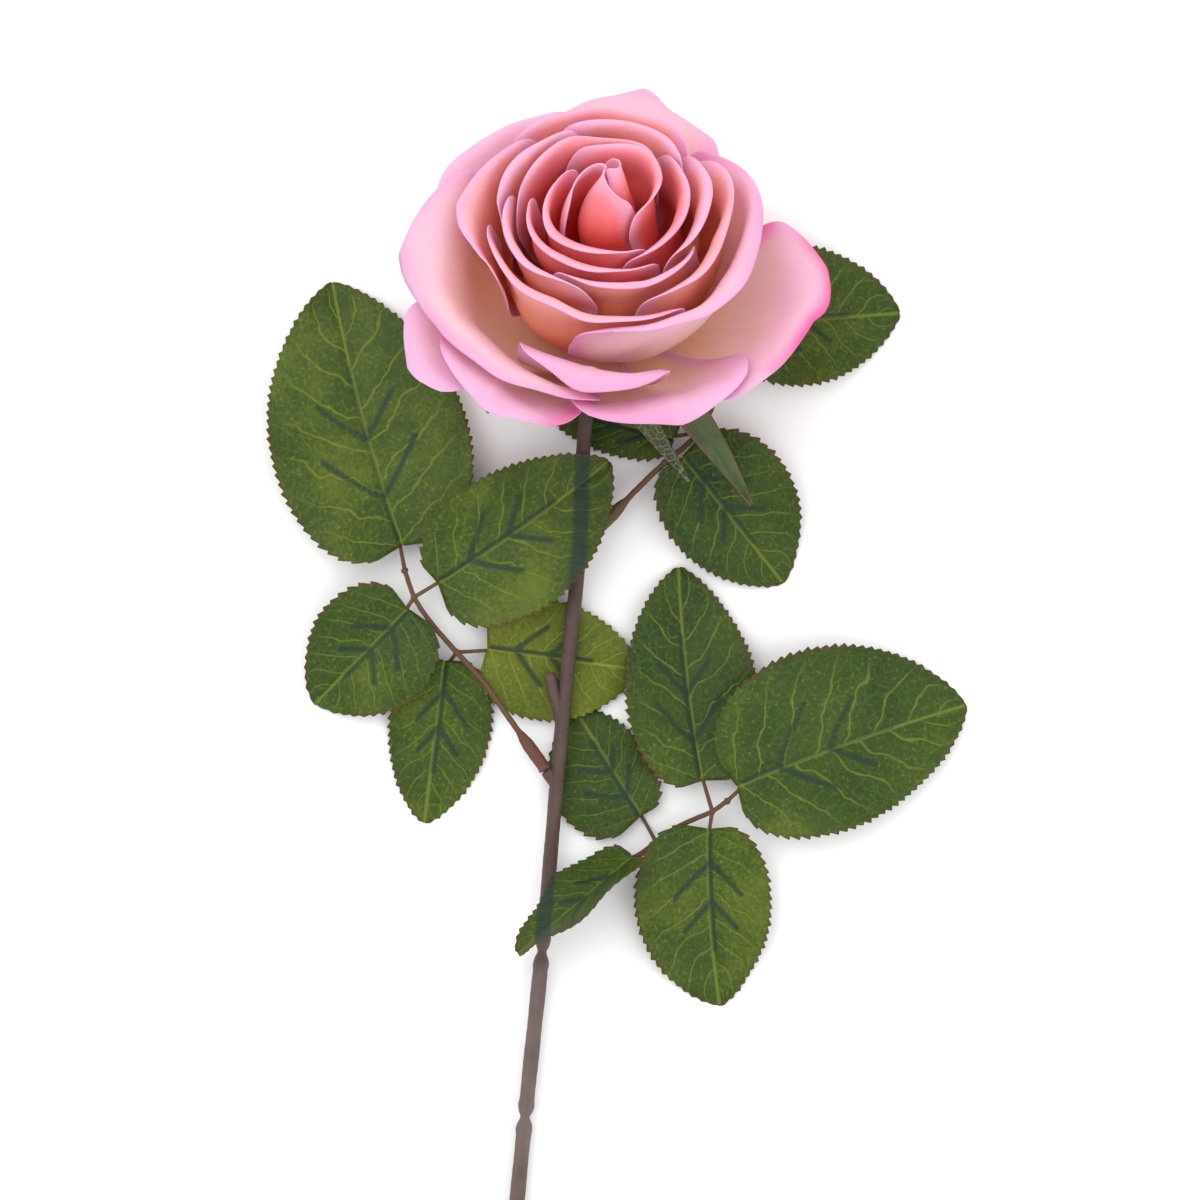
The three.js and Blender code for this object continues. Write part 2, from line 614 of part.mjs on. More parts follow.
function addSepals() {
  SEPALS.forEach((sepal, n) => {
    const pointAt = (a, b) => sepalPoint(sepal, a, 2 * b - 1);
    add(`sepal_${n + 1}`, sheet(pointAt, 7, 2, SEPAL_THICKNESS), MATERIALS.sepal);
  });
}

// ---------------------------------------------------------------- assembly
add("stem", geometryOf(stemSolid()), MATERIALS.stem);
addSprays();
addLeaves();
addReceptacle();
addSepals();
addPetals();

const box = new THREE.Box3().setFromObject(rose);
const middle = box.getCenter(new THREE.Vector3());
rose.position.set(-middle.x, -middle.y, -box.min.z);
rose.updateMatrixWorld(true);

export default rose;
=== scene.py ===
import math

import bpy
import numpy as np
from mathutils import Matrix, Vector


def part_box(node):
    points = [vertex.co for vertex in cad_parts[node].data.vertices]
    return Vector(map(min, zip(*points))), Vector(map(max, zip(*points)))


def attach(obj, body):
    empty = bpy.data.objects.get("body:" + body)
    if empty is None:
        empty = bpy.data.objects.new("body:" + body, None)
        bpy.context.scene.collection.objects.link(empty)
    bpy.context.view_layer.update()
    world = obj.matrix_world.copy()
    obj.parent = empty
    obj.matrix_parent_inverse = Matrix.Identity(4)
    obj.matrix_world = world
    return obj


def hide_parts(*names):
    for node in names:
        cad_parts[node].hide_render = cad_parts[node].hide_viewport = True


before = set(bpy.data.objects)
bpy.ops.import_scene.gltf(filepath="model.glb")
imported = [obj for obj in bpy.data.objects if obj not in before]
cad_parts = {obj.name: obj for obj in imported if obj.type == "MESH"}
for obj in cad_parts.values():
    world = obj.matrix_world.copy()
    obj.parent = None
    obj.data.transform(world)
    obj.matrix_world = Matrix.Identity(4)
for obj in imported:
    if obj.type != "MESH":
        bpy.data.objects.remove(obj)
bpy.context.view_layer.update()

MM_PER_M = 1000
rad = math.radians

# ---------------------------------------------------------------- the design's sizes, in mm
FIT_GAP = 0.35
HEAD_TILT = 32
# the stem and its narrow necks
STEM_RADIUS = 2.05
STEM_HEIGHT = 3.95 + STEM_RADIUS
CUT_STEM_LENGTH = 272
NECK_SHARE = 0.62
NECK_PITCH = 45
NECK_LENGTH = 1.3
COLLAR_OFFSET = 3.4
FIRST_NECK_Y = -95.7
LAST_NECK_Y = 10 - CUT_STEM_LENGTH
# the leaf sprays
RACHIS_RADIUS = 0.75
SLEEVE_RADIUS = 1.75
SLEEVE_LENGTH = 13
SLEEVE_START = STEM_RADIUS + 2.2
PEG_RADIUS = 0.9
STUB_RADIUS = 1.7
# the receptacle and its core
CORE_RADIUS = 2.2
CORE_TOP = 14
HIP_RADIUS = 6.2
HIP_LENGTH = 9
STEM_SEAT = 2.5
# the petals, as levels from 0 at the bud to LAST_LEVEL outside
FOOT_RADIUS = CORE_RADIUS + 0.45
FOOT_STEP = 1.6
FOOT_SPREAD = 0.42
LAST_LEVEL = 7.5
SPIRAL = 0.34
WIDEST = 0.55
ROUNDNESS = 0.44
ROLL_RADIUS = 3.2
ROLL_START = 0.72
PEAK_WIDTH = 0.5
# thickness of the visible cloth and sepals
PETAL_CLOTH = 0.34
LEAF_CLOTH = 0.4
SEPAL_THICKNESS = 0.5
# how softly and how high a piece rests
REST_SOFTNESS = 0.6
REST_LOWEST = 0.3
REST_STEP = 0.95
# steps for slopes, on the 0 to 1 scales of petals and leaves
SLOPE_STEP = 0.01

HEAD_AXIS = np.array([0, math.sin(rad(HEAD_TILT)), math.cos(rad(HEAD_TILT))])
HEAD_FAR = np.array([0, math.cos(rad(HEAD_TILT)), -math.sin(rad(HEAD_TILT))])
HEAD_BASE = np.array([1, 84.5, STEM_HEIGHT + 21])
RIGHT = np.array([1.0, 0, 0])
UP = np.array([0, 0, 1.0])


def unit(v):
    return v / np.maximum(np.linalg.norm(v, axis=-1, keepdims=True), 1e-12)


def smooth(x):
    x = np.clip(x, 0, 1)
    return x * x * (3 - 2 * x)


def mix(a, b, t):
    return a + (b - a) * t


# ---------------------------------------------------------------- where the design's frame lies
# The receptacle is turned about the head's axis, so its box gives the design's place in the row.
HIP_TOP = -FOOT_STEP * LAST_LEVEL - 0.3 - FIT_GAP
HIP_FOOT = HIP_TOP - HIP_LENGTH
HIP_PROFILE = [
    (0, HIP_FOOT + STEM_SEAT + FIT_GAP),
    (STEM_RADIUS + FIT_GAP, HIP_FOOT + STEM_SEAT + FIT_GAP),
    (STEM_RADIUS + FIT_GAP, HIP_FOOT),
    (STEM_RADIUS + FIT_GAP + 0.8, HIP_FOOT),
    (HIP_RADIUS * 0.85, HIP_FOOT + HIP_LENGTH * 0.3),
    (HIP_RADIUS, HIP_FOOT + HIP_LENGTH * 0.6),
    (HIP_RADIUS * 0.92, HIP_TOP - 0.6),
    (HIP_RADIUS * 0.8, HIP_TOP),
    (CORE_RADIUS, HIP_TOP),
    (CORE_RADIUS, CORE_TOP - 1),
    (CORE_RADIUS - 0.8, CORE_TOP),
    (0, CORE_TOP),
]
hip_low, hip_high = (np.array(c) * MM_PER_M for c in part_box("receptacle"))
top = max(h * HEAD_AXIS[2] - r * HEAD_FAR[2] for r, h in HIP_PROFILE)
far = max(h * HEAD_AXIS[1] + r * HEAD_FAR[1] for r, h in HIP_PROFILE)
SHIFT = np.array([
    (hip_low[0] + hip_high[0]) / 2 - HEAD_BASE[0],
    hip_high[1] - far - HEAD_BASE[1],
    hip_high[2] - top - HEAD_BASE[2],
])


# ---------------------------------------------------------------- meshes
def build(name, verts, faces, material, nodes, uvs, attributes):
    """One smooth object on the root body, from points in the design's mm."""
    mesh = bpy.data.meshes.new(name)
    mesh.from_pydata(((verts + SHIFT) / MM_PER_M).tolist(), [], faces)
    corners = np.empty(len(mesh.loops), np.int32)
    mesh.loops.foreach_get("vertex_index", corners)
    for key, values in uvs.items():
        layer = mesh.uv_layers.new(name=key)
        layer.uv.foreach_set("vector", np.asarray(values, np.float32)[corners].ravel())
    for key, values in attributes.items():
        layer = mesh.attributes.new(key, "FLOAT", "POINT")
        layer.data.foreach_set("value", np.asarray(values, np.float32))
    mesh.polygons.foreach_set("use_smooth", [True] * len(mesh.polygons))
    mesh.materials.append(material)
    mesh.validate()
    obj = bpy.data.objects.new(name, mesh)
    bpy.context.scene.collection.objects.link(obj)
    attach(obj, "root")
    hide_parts(*nodes)


def grid_faces(rows, columns):
    """Both faces and the four walls of a closed sheet whose points are numbered row by row."""
    across, count = columns + 1, (rows + 1) * (columns + 1)
    j, i = np.mgrid[0:rows, 0:columns]
    k = (j * across + i).ravel()
    front = np.stack([k, k + 1, k + 1 + across, k + across], 1)
    back = count + front[:, ::-1]
    ring = list(range(columns)) + [r * across + columns for r in range(rows)]
    ring += [rows * across + c for c in range(columns, 0, -1)]
    ring += [r * across for r in range(rows, 0, -1)]
    ring = np.array(ring)
    after = np.roll(ring, -1)
    walls = np.stack([after, ring, count + ring, count + after], 1)
    return np.concatenate([front, back, walls]).tolist()


def normals_of(points):
    """Unit normals of a sheet's middle surface, points being rows by columns by 3."""
    return unit(np.cross(np.gradient(points, axis=1), np.gradient(points, axis=0)))


def sheet(name, points, thickness, material, nodes, uvs, attributes):
    """A closed sheet about its middle surface; each uv map and attribute is given over the grid."""
    half = normals_of(points) * (thickness / 2)
    verts = np.concatenate([(points + half).reshape(-1, 3), (points - half).reshape(-1, 3)])
    faces = grid_faces(points.shape[0] - 1, points.shape[1] - 1)
    both = lambda v: np.concatenate([v, v])
    grid = points.shape[:2]
    uvs = {k: both(np.stack([a.ravel(), b.ravel()], 1)) for k, (a, b) in uvs.items()}
    attributes = {k: both(np.broadcast_to(v, grid).ravel()) for k, v in attributes.items()}
    attributes["inside"] = np.repeat([0.0, 1.0], grid[0] * grid[1])
    build(name, verts, faces, material, nodes, uvs, attributes)


def spline(points, count):
    """A centripetal Catmull-Rom curve through the points, at even steps along it."""
    p = np.array(points, float)
    if len(p) == 2:
        return np.linspace(p[0], p[1], count)
    p = np.vstack([2 * p[0] - p[1], p, 2 * p[-1] - p[-2]])
    dense = []
    for a, b, c, d in zip(p, p[1:], p[2:], p[3:]):
        ta, tb, tc = (max(np.linalg.norm(v), 1e-6) ** 0.5 for v in (b - a, c - b, d - c))
        m1 = (b - a) / ta - (c - a) / (ta + tb) + (c - b) / tb
        m2 = (c - b) / tb - (d - b) / (tb + tc) + (d - c) / tc
        t = np.linspace(0, 1, 60, endpoint=False)[:, None]
        m1, m2 = m1 * tb, m2 * tb
        square, cube = 3 * (c - b) - 2 * m1 - m2, 2 * (b - c) + m1 + m2
        dense.append(b + m1 * t + square * t**2 + cube * t**3)
    dense = np.vstack(dense + [p[-2:-1]])
    run = np.concatenate([[0], np.cumsum(np.linalg.norm(np.diff(dense, axis=0), axis=1))])
    steps = np.linspace(0, run[-1], count)
    return np.stack([np.interp(steps, run, dense[:, c]) for c in range(3)], 1)


def tube_mesh(centres, radii, sides, swell=None):
    """Vertices, faces, and each vertex's run along the tube in mm and its turn from 0 to 1."""
    along = unit(np.gradient(centres, axis=0))
    upright = np.abs(along[:, 2:3]) > 0.9
    side = unit(np.where(upright, np.cross(along, RIGHT), np.cross(along, UP)))
    lift = np.cross(side, along)
    turn = np.arange(sides) / sides
    angle = (2 * np.pi * turn)[None, :, None]
    ring = np.cos(angle) * side[:, None] + np.sin(angle) * lift[:, None]
    radii = np.asarray(radii, float)[:, None] * np.ones(sides)
    run = np.concatenate([[0], np.cumsum(np.linalg.norm(np.diff(centres, axis=0), axis=1))])
    if swell is not None:
        radii = radii * swell(run[:, None], turn[None, :])
    verts = (centres[:, None] + ring * radii[..., None]).reshape(-1, 3)
    faces = []
    for i in range(len(centres) - 1):
        for k in range(sides):
            a, b = i * sides + k, i * sides + (k + 1) % sides
            faces.append((a, a + sides, b + sides, b))
    last = (len(centres) - 1) * sides
    faces.append(tuple(range(sides)))
    faces.append(tuple(range(last + sides - 1, last - 1, -1)))
    return verts, faces, np.repeat(run, sides), np.tile(turn, len(centres))


def joined(parts):
    """One mesh from several (vertices, faces, run, turn)."""
    verts, faces, runs, turns, start = [], [], [], [], 0
    for v, f, run, turn in parts:
        verts.append(v)
        faces += [tuple(k + start for k in face) for face in f]
        runs.append(run)
        turns.append(turn)
        start += len(v)
    return np.vstack(verts), faces, np.concatenate(runs), np.concatenate(turns)


def waves(seed, x, y, octaves=3):
    """A smooth random field, about -1 to 1, from summed sines, the same on each run."""
    rng = np.random.default_rng(seed)
    total, weight = np.zeros(np.broadcast(x, y).shape), 0
    for octave in range(octaves):
        for _ in range(4):
            angle, phase = rng.uniform(0, 2 * np.pi, 2)
            f = 2**octave * rng.uniform(0.7, 1.3)
            total = total + np.sin(f * (x * np.cos(angle) + y * np.sin(angle)) + phase) / 2**octave
        weight += 1.9 / 2**octave
    return total / weight


# ---------------------------------------------------------------- node helpers
class Nodes:
    """One material. Each method adds a node, fed with numbers or sockets, and gives its output."""

    def __init__(self, name):
        self.material = bpy.data.materials.new(name)
        self.material.use_nodes = True
        self.tree = self.material.node_tree
        self.shader = self.tree.nodes["Principled BSDF"]

    def new(self, kind, **settings):
        node = self.tree.nodes.new(kind)
        for key, value in settings.items():
            setattr(node, key, value)
        return node

    def put(self, socket, value):
        if isinstance(value, bpy.types.NodeSocket):
            self.tree.links.new(value, socket)
        elif value is not None:
            socket.default_value = value

    def math(self, operation, a, b=None, c=None, clamp=False):
        node = self.new("ShaderNodeMath", operation=operation, use_clamp=clamp)
        for socket, value in zip(node.inputs, (a, b, c)):
            self.put(socket, value)
        return node.outputs[0]

    def attribute(self, name):
        return self.new("ShaderNodeAttribute", attribute_name=name).outputs["Fac"]

    def uv(self, name):
        return self.new("ShaderNodeUVMap", uv_map=name).outputs["UV"]

    def place(self):
        return self.new("ShaderNodeTexCoord").outputs["Object"]

    def split(self, vector):
        node = self.new("ShaderNodeSeparateXYZ")
        self.put(node.inputs[0], vector)
        return node.outputs

    def noise(self, vector, scale, detail=3, roughness=0.55):
        node = self.new("ShaderNodeTexNoise")
        self.put(node.inputs["Vector"], vector)
        for key, value in (("Scale", scale), ("Detail", detail), ("Roughness", roughness)):
            node.inputs[key].default_value = value
        return node.outputs["Fac"]

    def stretch(self, vector, scale):
        node = self.new("ShaderNodeMapping")
        self.put(node.inputs["Vector"], vector)
        node.inputs["Scale"].default_value = scale
        return node.outputs[0]

    def cells(self, vector, scale):
        """Distance to the nearest edge of a net of cells."""
        node = self.new("ShaderNodeTexVoronoi", feature="DISTANCE_TO_EDGE")
        self.put(node.inputs["Vector"], vector)
        node.inputs["Scale"].default_value = scale
        return node.outputs["Distance"]

    def span(self, value, low, high, to_low=0.0, to_high=1.0):
        """The value's place between low and high, smoothed, as a place between the other two."""
        node = self.new("ShaderNodeMapRange", interpolation_type="SMOOTHSTEP")
        for socket, v in zip(node.inputs, (value, low, high, to_low, to_high)):
            self.put(socket, v)
        return node.outputs[0]

    def ramp(self, value, stops, interpolation="EASE"):
        node = self.new("ShaderNodeValToRGB")
        node.color_ramp.interpolation = interpolation
        elements = node.color_ramp.elements
        while len(elements) < len(stops):
            elements.new(0.5)
        for element, (position, color) in zip(elements, stops):
            element.position = position
            element.color = (*color, 1)
        self.put(node.inputs[0], value)
        return node.outputs[0]

    def blend(self, factor, a, b, kind="MIX"):
        node = self.new("ShaderNodeMix", data_type="RGBA", blend_type=kind)
        node.clamp_factor = True
        sockets = [s for s in node.inputs if s.enabled]
        for socket, value in zip(sockets, (factor, a, b)):
            if isinstance(value, tuple):
                value = (*value, 1)
            self.put(socket, value)
        return [s for s in node.outputs if s.enabled][0]

    def bump(self, height, strength, distance, normal=None):
        node = self.new("ShaderNodeBump")
        node.inputs["Strength"].default_value = strength
        node.inputs["Distance"].default_value = distance
        self.put(node.inputs["Height"], height)
        self.put(node.inputs["Normal"], normal)
        return node.outputs[0]

    def glow(self, color, normal, share):
        """Lets a share of the light through the cloth."""
        through = self.new("ShaderNodeBsdfTranslucent")
        both = self.new("ShaderNodeMixShader")
        self.put(through.inputs["Color"], color)
        self.put(through.inputs["Normal"], normal)
        both.inputs[0].default_value = share
        self.put(both.inputs[1], self.shader.outputs[0])
        self.put(both.inputs[2], through.outputs[0])
        self.put(self.tree.nodes["Material Output"].inputs[0], both.outputs[0])

    def finish(self, color, roughness, normal=None, **values):
        self.put(self.shader.inputs["Base Color"], color)
        self.put(self.shader.inputs["Roughness"], roughness)
        self.put(self.shader.inputs["Normal"], normal)
        for key, value in values.items():
            self.shader.inputs[key.replace("_", " ")].default_value = value
        return self.material


# ---------------------------------------------------------------- petal cloth
def weave(n, pitch):
    """Threads both ways, from the cloth's own map in metres."""
    cloth = n.split(n.uv("cloth"))
    wave = lambda s: n.math("SINE", n.math("MULTIPLY", s, 2 * math.pi / pitch))
    return n.math("MULTIPLY", wave(cloth[0]), wave(cloth[1]))


def petal_material(name, stops, rim_color, hot_color, hot, rim_width):
    """Dyed cloth: a ramp from foot to rim, a rim band in mm, hot patches, grain and creases."""
    n = Nodes(name)
    along = n.attribute("along")
    rim = n.attribute("rim")
    place = n.place()
    drift = n.math("SUBTRACT", n.noise(place, 55, 3, 0.5), 0.5)
    streaks = n.math("SUBTRACT", n.noise(n.stretch(n.uv("cloth"), (420, 40, 1)), 1, 4, 0.6), 0.5)
    key = n.math("ADD", along, n.math("MULTIPLY", drift, 0.22))
    key = n.math("ADD", key, n.math("MULTIPLY", streaks, 0.07), clamp=True)
    color = n.ramp(key, stops)
    wander = n.math("MULTIPLY_ADD", n.noise(place, 120, 3, 0.6), 0.9, 0.55)
    near = n.span(n.math("DIVIDE", rim, wander), 0, rim_width, 1, 0)
    color = n.blend(near, color, rim_color)
    spots = n.span(n.noise(place, 26, 2, 0.5), 0.42, 0.6)
    patch = n.math("MULTIPLY", spots, n.span(rim, 0, 12, 1, 0))
    patch = n.math("MULTIPLY", patch, n.attribute("hot"))
    color = n.blend(n.math("MULTIPLY", patch, hot, clamp=True), color, hot_color)
    grain = n.noise(n.stretch(n.uv("cloth"), (2600, 2600, 1)), 1, 2, 0.6)
    threads = n.ramp(grain, [(0.3, (0.55, 0.55, 0.55)), (0.7, (1, 1, 1))], "LINEAR")
    color = n.blend(0.16, color, threads, "MULTIPLY")
    fray = n.math("MULTIPLY", n.span(rim, 0.0, 0.2, 0.25, 0), n.noise(place, 2400, 1))
    color = n.blend(fray, color, (0.97, 0.9, 0.93))
    creases = n.noise(n.stretch(n.uv("cloth"), (160, 45, 1)), 1, 4, 0.6)
    normal = n.bump(creases, 0.6, 0.0011)
    normal = n.bump(weave(n, 0.00042), 0.25, 0.00004, normal)
    rough = n.span(grain, 0.2, 0.8, 0.62, 0.8)
    n.glow(color, normal, share=0.3)
    return n.finish(
        color, rough, normal, Sheen_Weight=0.08, Sheen_Roughness=0.4, Specular_IOR_Level=0.2)


PETAL_INNER = petal_material(
    "petal_inner_cloth",
    [(0.0, (0.90, 0.012, 0.002)), (0.35, (1.0, 0.06, 0.025)), (0.6, (1.0, 0.17, 0.14)),
     (0.8, (1.0, 0.30, 0.33)), (1.0, (0.99, 0.47, 0.60))],
    rim_color=(0.96, 0.54, 0.73), hot_color=(0.98, 0.28, 0.5), hot=0.3, rim_width=6.5,
)
PETAL_MIDDLE = petal_material(
    "petal_middle_cloth",
    [(0.0, (1.0, 0.07, 0.008)), (0.35, (1.0, 0.22, 0.06)), (0.6, (1.0, 0.40, 0.24)),
     (0.8, (1.0, 0.48, 0.42)), (1.0, (0.97, 0.51, 0.66))],
    rim_color=(0.94, 0.54, 0.77), hot_color=(0.98, 0.28, 0.52), hot=0.4, rim_width=8,
)
PETAL_OUTER = petal_material(
    "petal_outer_cloth",
    [(0.0, (1.0, 0.50, 0.26)), (0.35, (1.0, 0.66, 0.48)), (0.6, (0.97, 0.68, 0.66)),
     (0.8, (0.95, 0.59, 0.73)), (1.0, (0.93, 0.55, 0.77))],
    rim_color=(0.92, 0.56, 0.80), hot_color=(0.97, 0.16, 0.46), hot=1.0, rim_width=9,
)


# ---------------------------------------------------------------- petals
# For each level, the points after the foot that shape a petal's middle line: radius and height.
MERIDIANS = np.array([
    [[8, 3], [10.5, 20], [9.5, 36], [4, 43], [3.4, 47]],
    [[15.5, 3], [18, 17], [12.5, 31], [13, 40], [17.5, 36.5]],
    [[20, 0], [22.5, 14], [17.5, 28], [18, 39], [22.5, 35.5]],
    [[25, -3], [28, 11], [22.5, 26], [23.5, 38], [28, 34.5]],
    [[29, -6], [33, 8], [28, 22], [29.5, 36.5], [34.8, 31.5]],
    [[32, -9], [37, 4], [33.5, 17], [36, 32], [43.5, 25]],
    [[33.5, -12], [40, 1], [40, 11], [45.5, 21], [52.5, 10]],
    [[34, -15.5], [42, -3], [46, 4], [52, 8], [58, 1.5]],
], float)
# For each whorl: its name, the roll of its rims in degrees, its ripple in mm, and its petals. For
# each petal: level, azimuth and half spread in degrees, the place of its rim's peak from -1 to 1,
# the peak's height, its share of the meridian, and how hot its pink is.
WHORLS = [
    ("bud", 12, 0.2, [
        (0, 262, 82, 0.1, 0.06, 1, 0), (0, 20, 80, 0, 0, 1, 0), (0, 140, 80, 0, 0, 1, 0)]),
    ("heart", 30, 0.35, [(1, 222, 100, 0, 0, 1, 0), (1.1, 42, 88, 0, 0, 1, 0)]),
    ("inner", 30, 0.4, [
        (2, 240, 76, 0, 0, 1, 0), (2, 112, 76, 0, 0, 1, 0), (2.08, 352, 66, 0, 0, 1, 0)]),
    ("middle", 30, 0.5, [
        (3, 215, 50, 0, 0, 1, 0), (3, 287, 54, 0, 0, 1, 0), (3, 358, 48, 0, 0, 1, 0),
        (3, 75, 48, 0, 0, 1, 0), (3, 145, 45, 0, 0, 1, 0)]),
    ("wide", 35, 0.6, [
        (4, 245, 66, 0, 0, 1, 0), (4, 168, 48, 0.1, 0.08, 1, 0.3),
        (4, 88, 52, 0, 0, 1, 0.2), (4, 345, 60, 0, 0, 1, 0)]),
    ("outer", 40, 0.9, [
        (4.83, 332, 82, 0, 0, 1, 0.3), (5.7, 206, 66, -0.45, 0.2, 1, 0.3),
        (5.62, 134, 38, 0.1, 0.05, 1, 1), (6.3, 80, 36, 0, 0.2, 1, 0.2),
        (5.55, 264, 30, 0, 0, 1, 0.2)]),
    ("skirt", 30, 1.1, [
        (7.08, 343, 43, 0.55, 0.25, 0.95, 1), (6.48, 292, 35, 0, 0.03, 0.94, 0.3),
        (6.6, 234, 28, 0, 0.03, 0.94, 0.7), (7, 208, 18, 0, 0.05, 1, 0.1)]),
]
# How far some petals' tips are drawn out, in mm.
TIPS = {("wide", 2): 2, ("outer", 2): 3, ("outer", 4): 8, ("skirt", 1): 0.8}
PETAL_SLOTS = {
    "bud": ("petal_inner", PETAL_INNER),
    "heart": ("petal_inner", PETAL_INNER),
    "inner": ("petal_inner", PETAL_INNER),
    "middle": ("petal_middle", PETAL_MIDDLE),
    "wide": ("petal_middle", PETAL_MIDDLE),
    "outer": ("petal_outer", PETAL_OUTER),
    "skirt": ("petal_outer", PETAL_OUTER),
}
PETAL_ROWS = 60
PETAL_COLUMNS = 64


def in_head(r, azimuth, h):
    """Points at a radius, azimuth and height about the head's axis."""
    return (
        HEAD_BASE
        + RIGHT * np.asarray(r * np.cos(azimuth))[..., None]
        + HEAD_FAR * np.asarray(r * np.sin(azimuth))[..., None]
        + HEAD_AXIS * np.asarray(h)[..., None]
    )


def in_axis(h):
    return HEAD_BASE + HEAD_AXIS * h


def rest(points, lowest):
    """Points below a height are laid softly on it."""
    above = (points[..., 2] - lowest) / REST_SOFTNESS
    points = points.copy()
    points[..., 2] = lowest + REST_SOFTNESS * np.logaddexp(0, above)
    return points


def meridian(level, t):
    """Radius and height at share t of the middle line of a petal at the level."""
    low = np.clip(np.floor(level), 0, len(MERIDIANS) - 2).astype(int)
    part = (level - low)[..., None, None]
    points = MERIDIANS[low] * (1 - part) + MERIDIANS[low + 1] * part
    foot = np.stack([np.full_like(level, FOOT_RADIUS), -FOOT_STEP * level], -1)
    points = np.concatenate([foot[..., None, :], points], -2)
    t = t[..., None, None]
    while points.shape[-2] > 1:
        points = points[..., :-1, :] * (1 - t) + points[..., 1:, :] * t
    return points[..., 0, :]


def petal_surface(petal, x, y):
    """Middle surface for x from -1 to 1 across and y from -1 at the foot to 1 at the rim."""
    azimuth, spread, peak, height, reach = rad(petal[1]), rad(petal[2]), *petal[3:6]
    foot = np.where(y < 0, mix(FOOT_SPREAD, 1, np.sin((1 + y) * np.pi / 2)), 1)
    turn = x * spread * foot
    peaked = reach + height * np.maximum(0, 1 - np.abs(x - peak) / PEAK_WIDTH) * np.maximum(0, y)
    t = peaked * np.where(y < 0, WIDEST * (1 + y), WIDEST + (1 - WIDEST) * y)
    rh = meridian(petal[0] + SPIRAL * turn, t)
    return in_head(rh[..., 0], azimuth + turn, rh[..., 1])


def squircle(x, y):
    """Distance from the middle, 1 at a rim that is between a circle and a square."""
    other = ROUNDNESS / (1 - ROUNDNESS)
    return np.sqrt(np.maximum(x * x + other * y * y, y * y + other * x * x))


def petal_grid(petal, roll, ripple, tip, seed):
    """A petal's points in rows from its foot, and each one's place from 0 inside to 1 at the rim."""
    a, b = np.meshgrid(np.linspace(0, 1, PETAL_COLUMNS + 1), np.linspace(0, 1, PETAL_ROWS + 1))
    u = 2 * a - 1
    v = np.where(b < WIDEST, b / WIDEST - 1, (b - WIDEST) / (1 - WIDEST))
    x = np.where(v < 0, u, u * np.sqrt(1 - ROUNDNESS * np.maximum(v, 0) ** 2))
    y = np.where(v < 0, v, v * np.sqrt(1 - ROUNDNESS * u * u))
    edge = np.where(v < 0, np.abs(x), squircle(x, y))
    around = np.arctan2(x, y + 1.2)
    rng = np.random.default_rng(seed)
    phases = rng.uniform(0, 2 * np.pi, 6)
    vary = 1 + 0.35 * np.sin(3.1 * around + phases[0]) + 0.2 * np.sin(7.3 * around + phases[1])
    # the rim rolls outward, and draws in as it rolls
    strength = rad(roll) * vary * np.where(v < 0, (1 + v) ** 2, 1)
    strength = np.maximum(strength, 1e-3)
    bend = np.clip((edge - ROLL_START) / (1 - ROLL_START), 0, 1) * strength
    rolled = ROLL_START + (1 - ROLL_START) * np.sin(bend) / strength
    kept = np.where(edge > ROLL_START, rolled / np.maximum(edge, 1e-6), 1)
    px, py = x * kept, np.where(v < 0, y, y * kept)
    points = petal_surface(petal, px, py)
    across = petal_surface(petal, px + SLOPE_STEP, py) - points
    upward = petal_surface(petal, px, py + SLOPE_STEP) - points
    outward = unit(np.cross(across, upward))
    # roll, waves along the rim, dents, and a crease down the middle
    lift = ROLL_RADIUS * (1 - np.cos(bend))
    lift += ripple * np.clip(edge, 0, 1) ** 4 * (
        0.6 * np.sin(5.3 * around + phases[2]) + 0.4 * np.sin(11.1 * around + phases[3])
    )
    lift += 0.35 * ripple * waves(seed + 50, 3 * x, 3 * y, 3) * smooth(b * 2)
    lift -= 0.35 * ripple * np.exp(-((x / 0.07) ** 2)) * smooth(b * 1.5) * (1 - edge**4)
    points = points + outward * lift[..., None]
    # the tip is drawn out from the head's axis
    near_peak = np.maximum(0, 1 - np.abs(x - petal[3]) / (1.2 * PEAK_WIDTH))
    drawn = tip * near_peak ** 1.3 * smooth(y) ** 2
    turn = rad(petal[1]) + px * rad(petal[2])
    radial = RIGHT * np.cos(turn)[..., None] + HEAD_FAR * np.sin(turn)[..., None]
    points = points + radial * drawn[..., None]
    points = points + crumple(points) * smooth(b * 1.6)[..., None]
    points = rest(points, REST_LOWEST + (LAST_LEVEL - petal[0]) * REST_STEP)
    return points, edge


def crumple(points):
    """One soft warp of the whole head, so that neighbours stay apart."""
    rng = np.random.default_rng(11)
    total = np.zeros_like(points)
    for wavelength, size in ((34, 0.9), (34, 0.9), (22, 0.55), (22, 0.55), (15, 0.3), (15, 0.3)):
        wave, way = unit(rng.normal(size=3)), unit(rng.normal(size=3))
        phase = rng.uniform(0, 2 * np.pi)
        total += size * way * np.sin(points @ wave * (2 * np.pi / wavelength) + phase)[..., None]
    return total


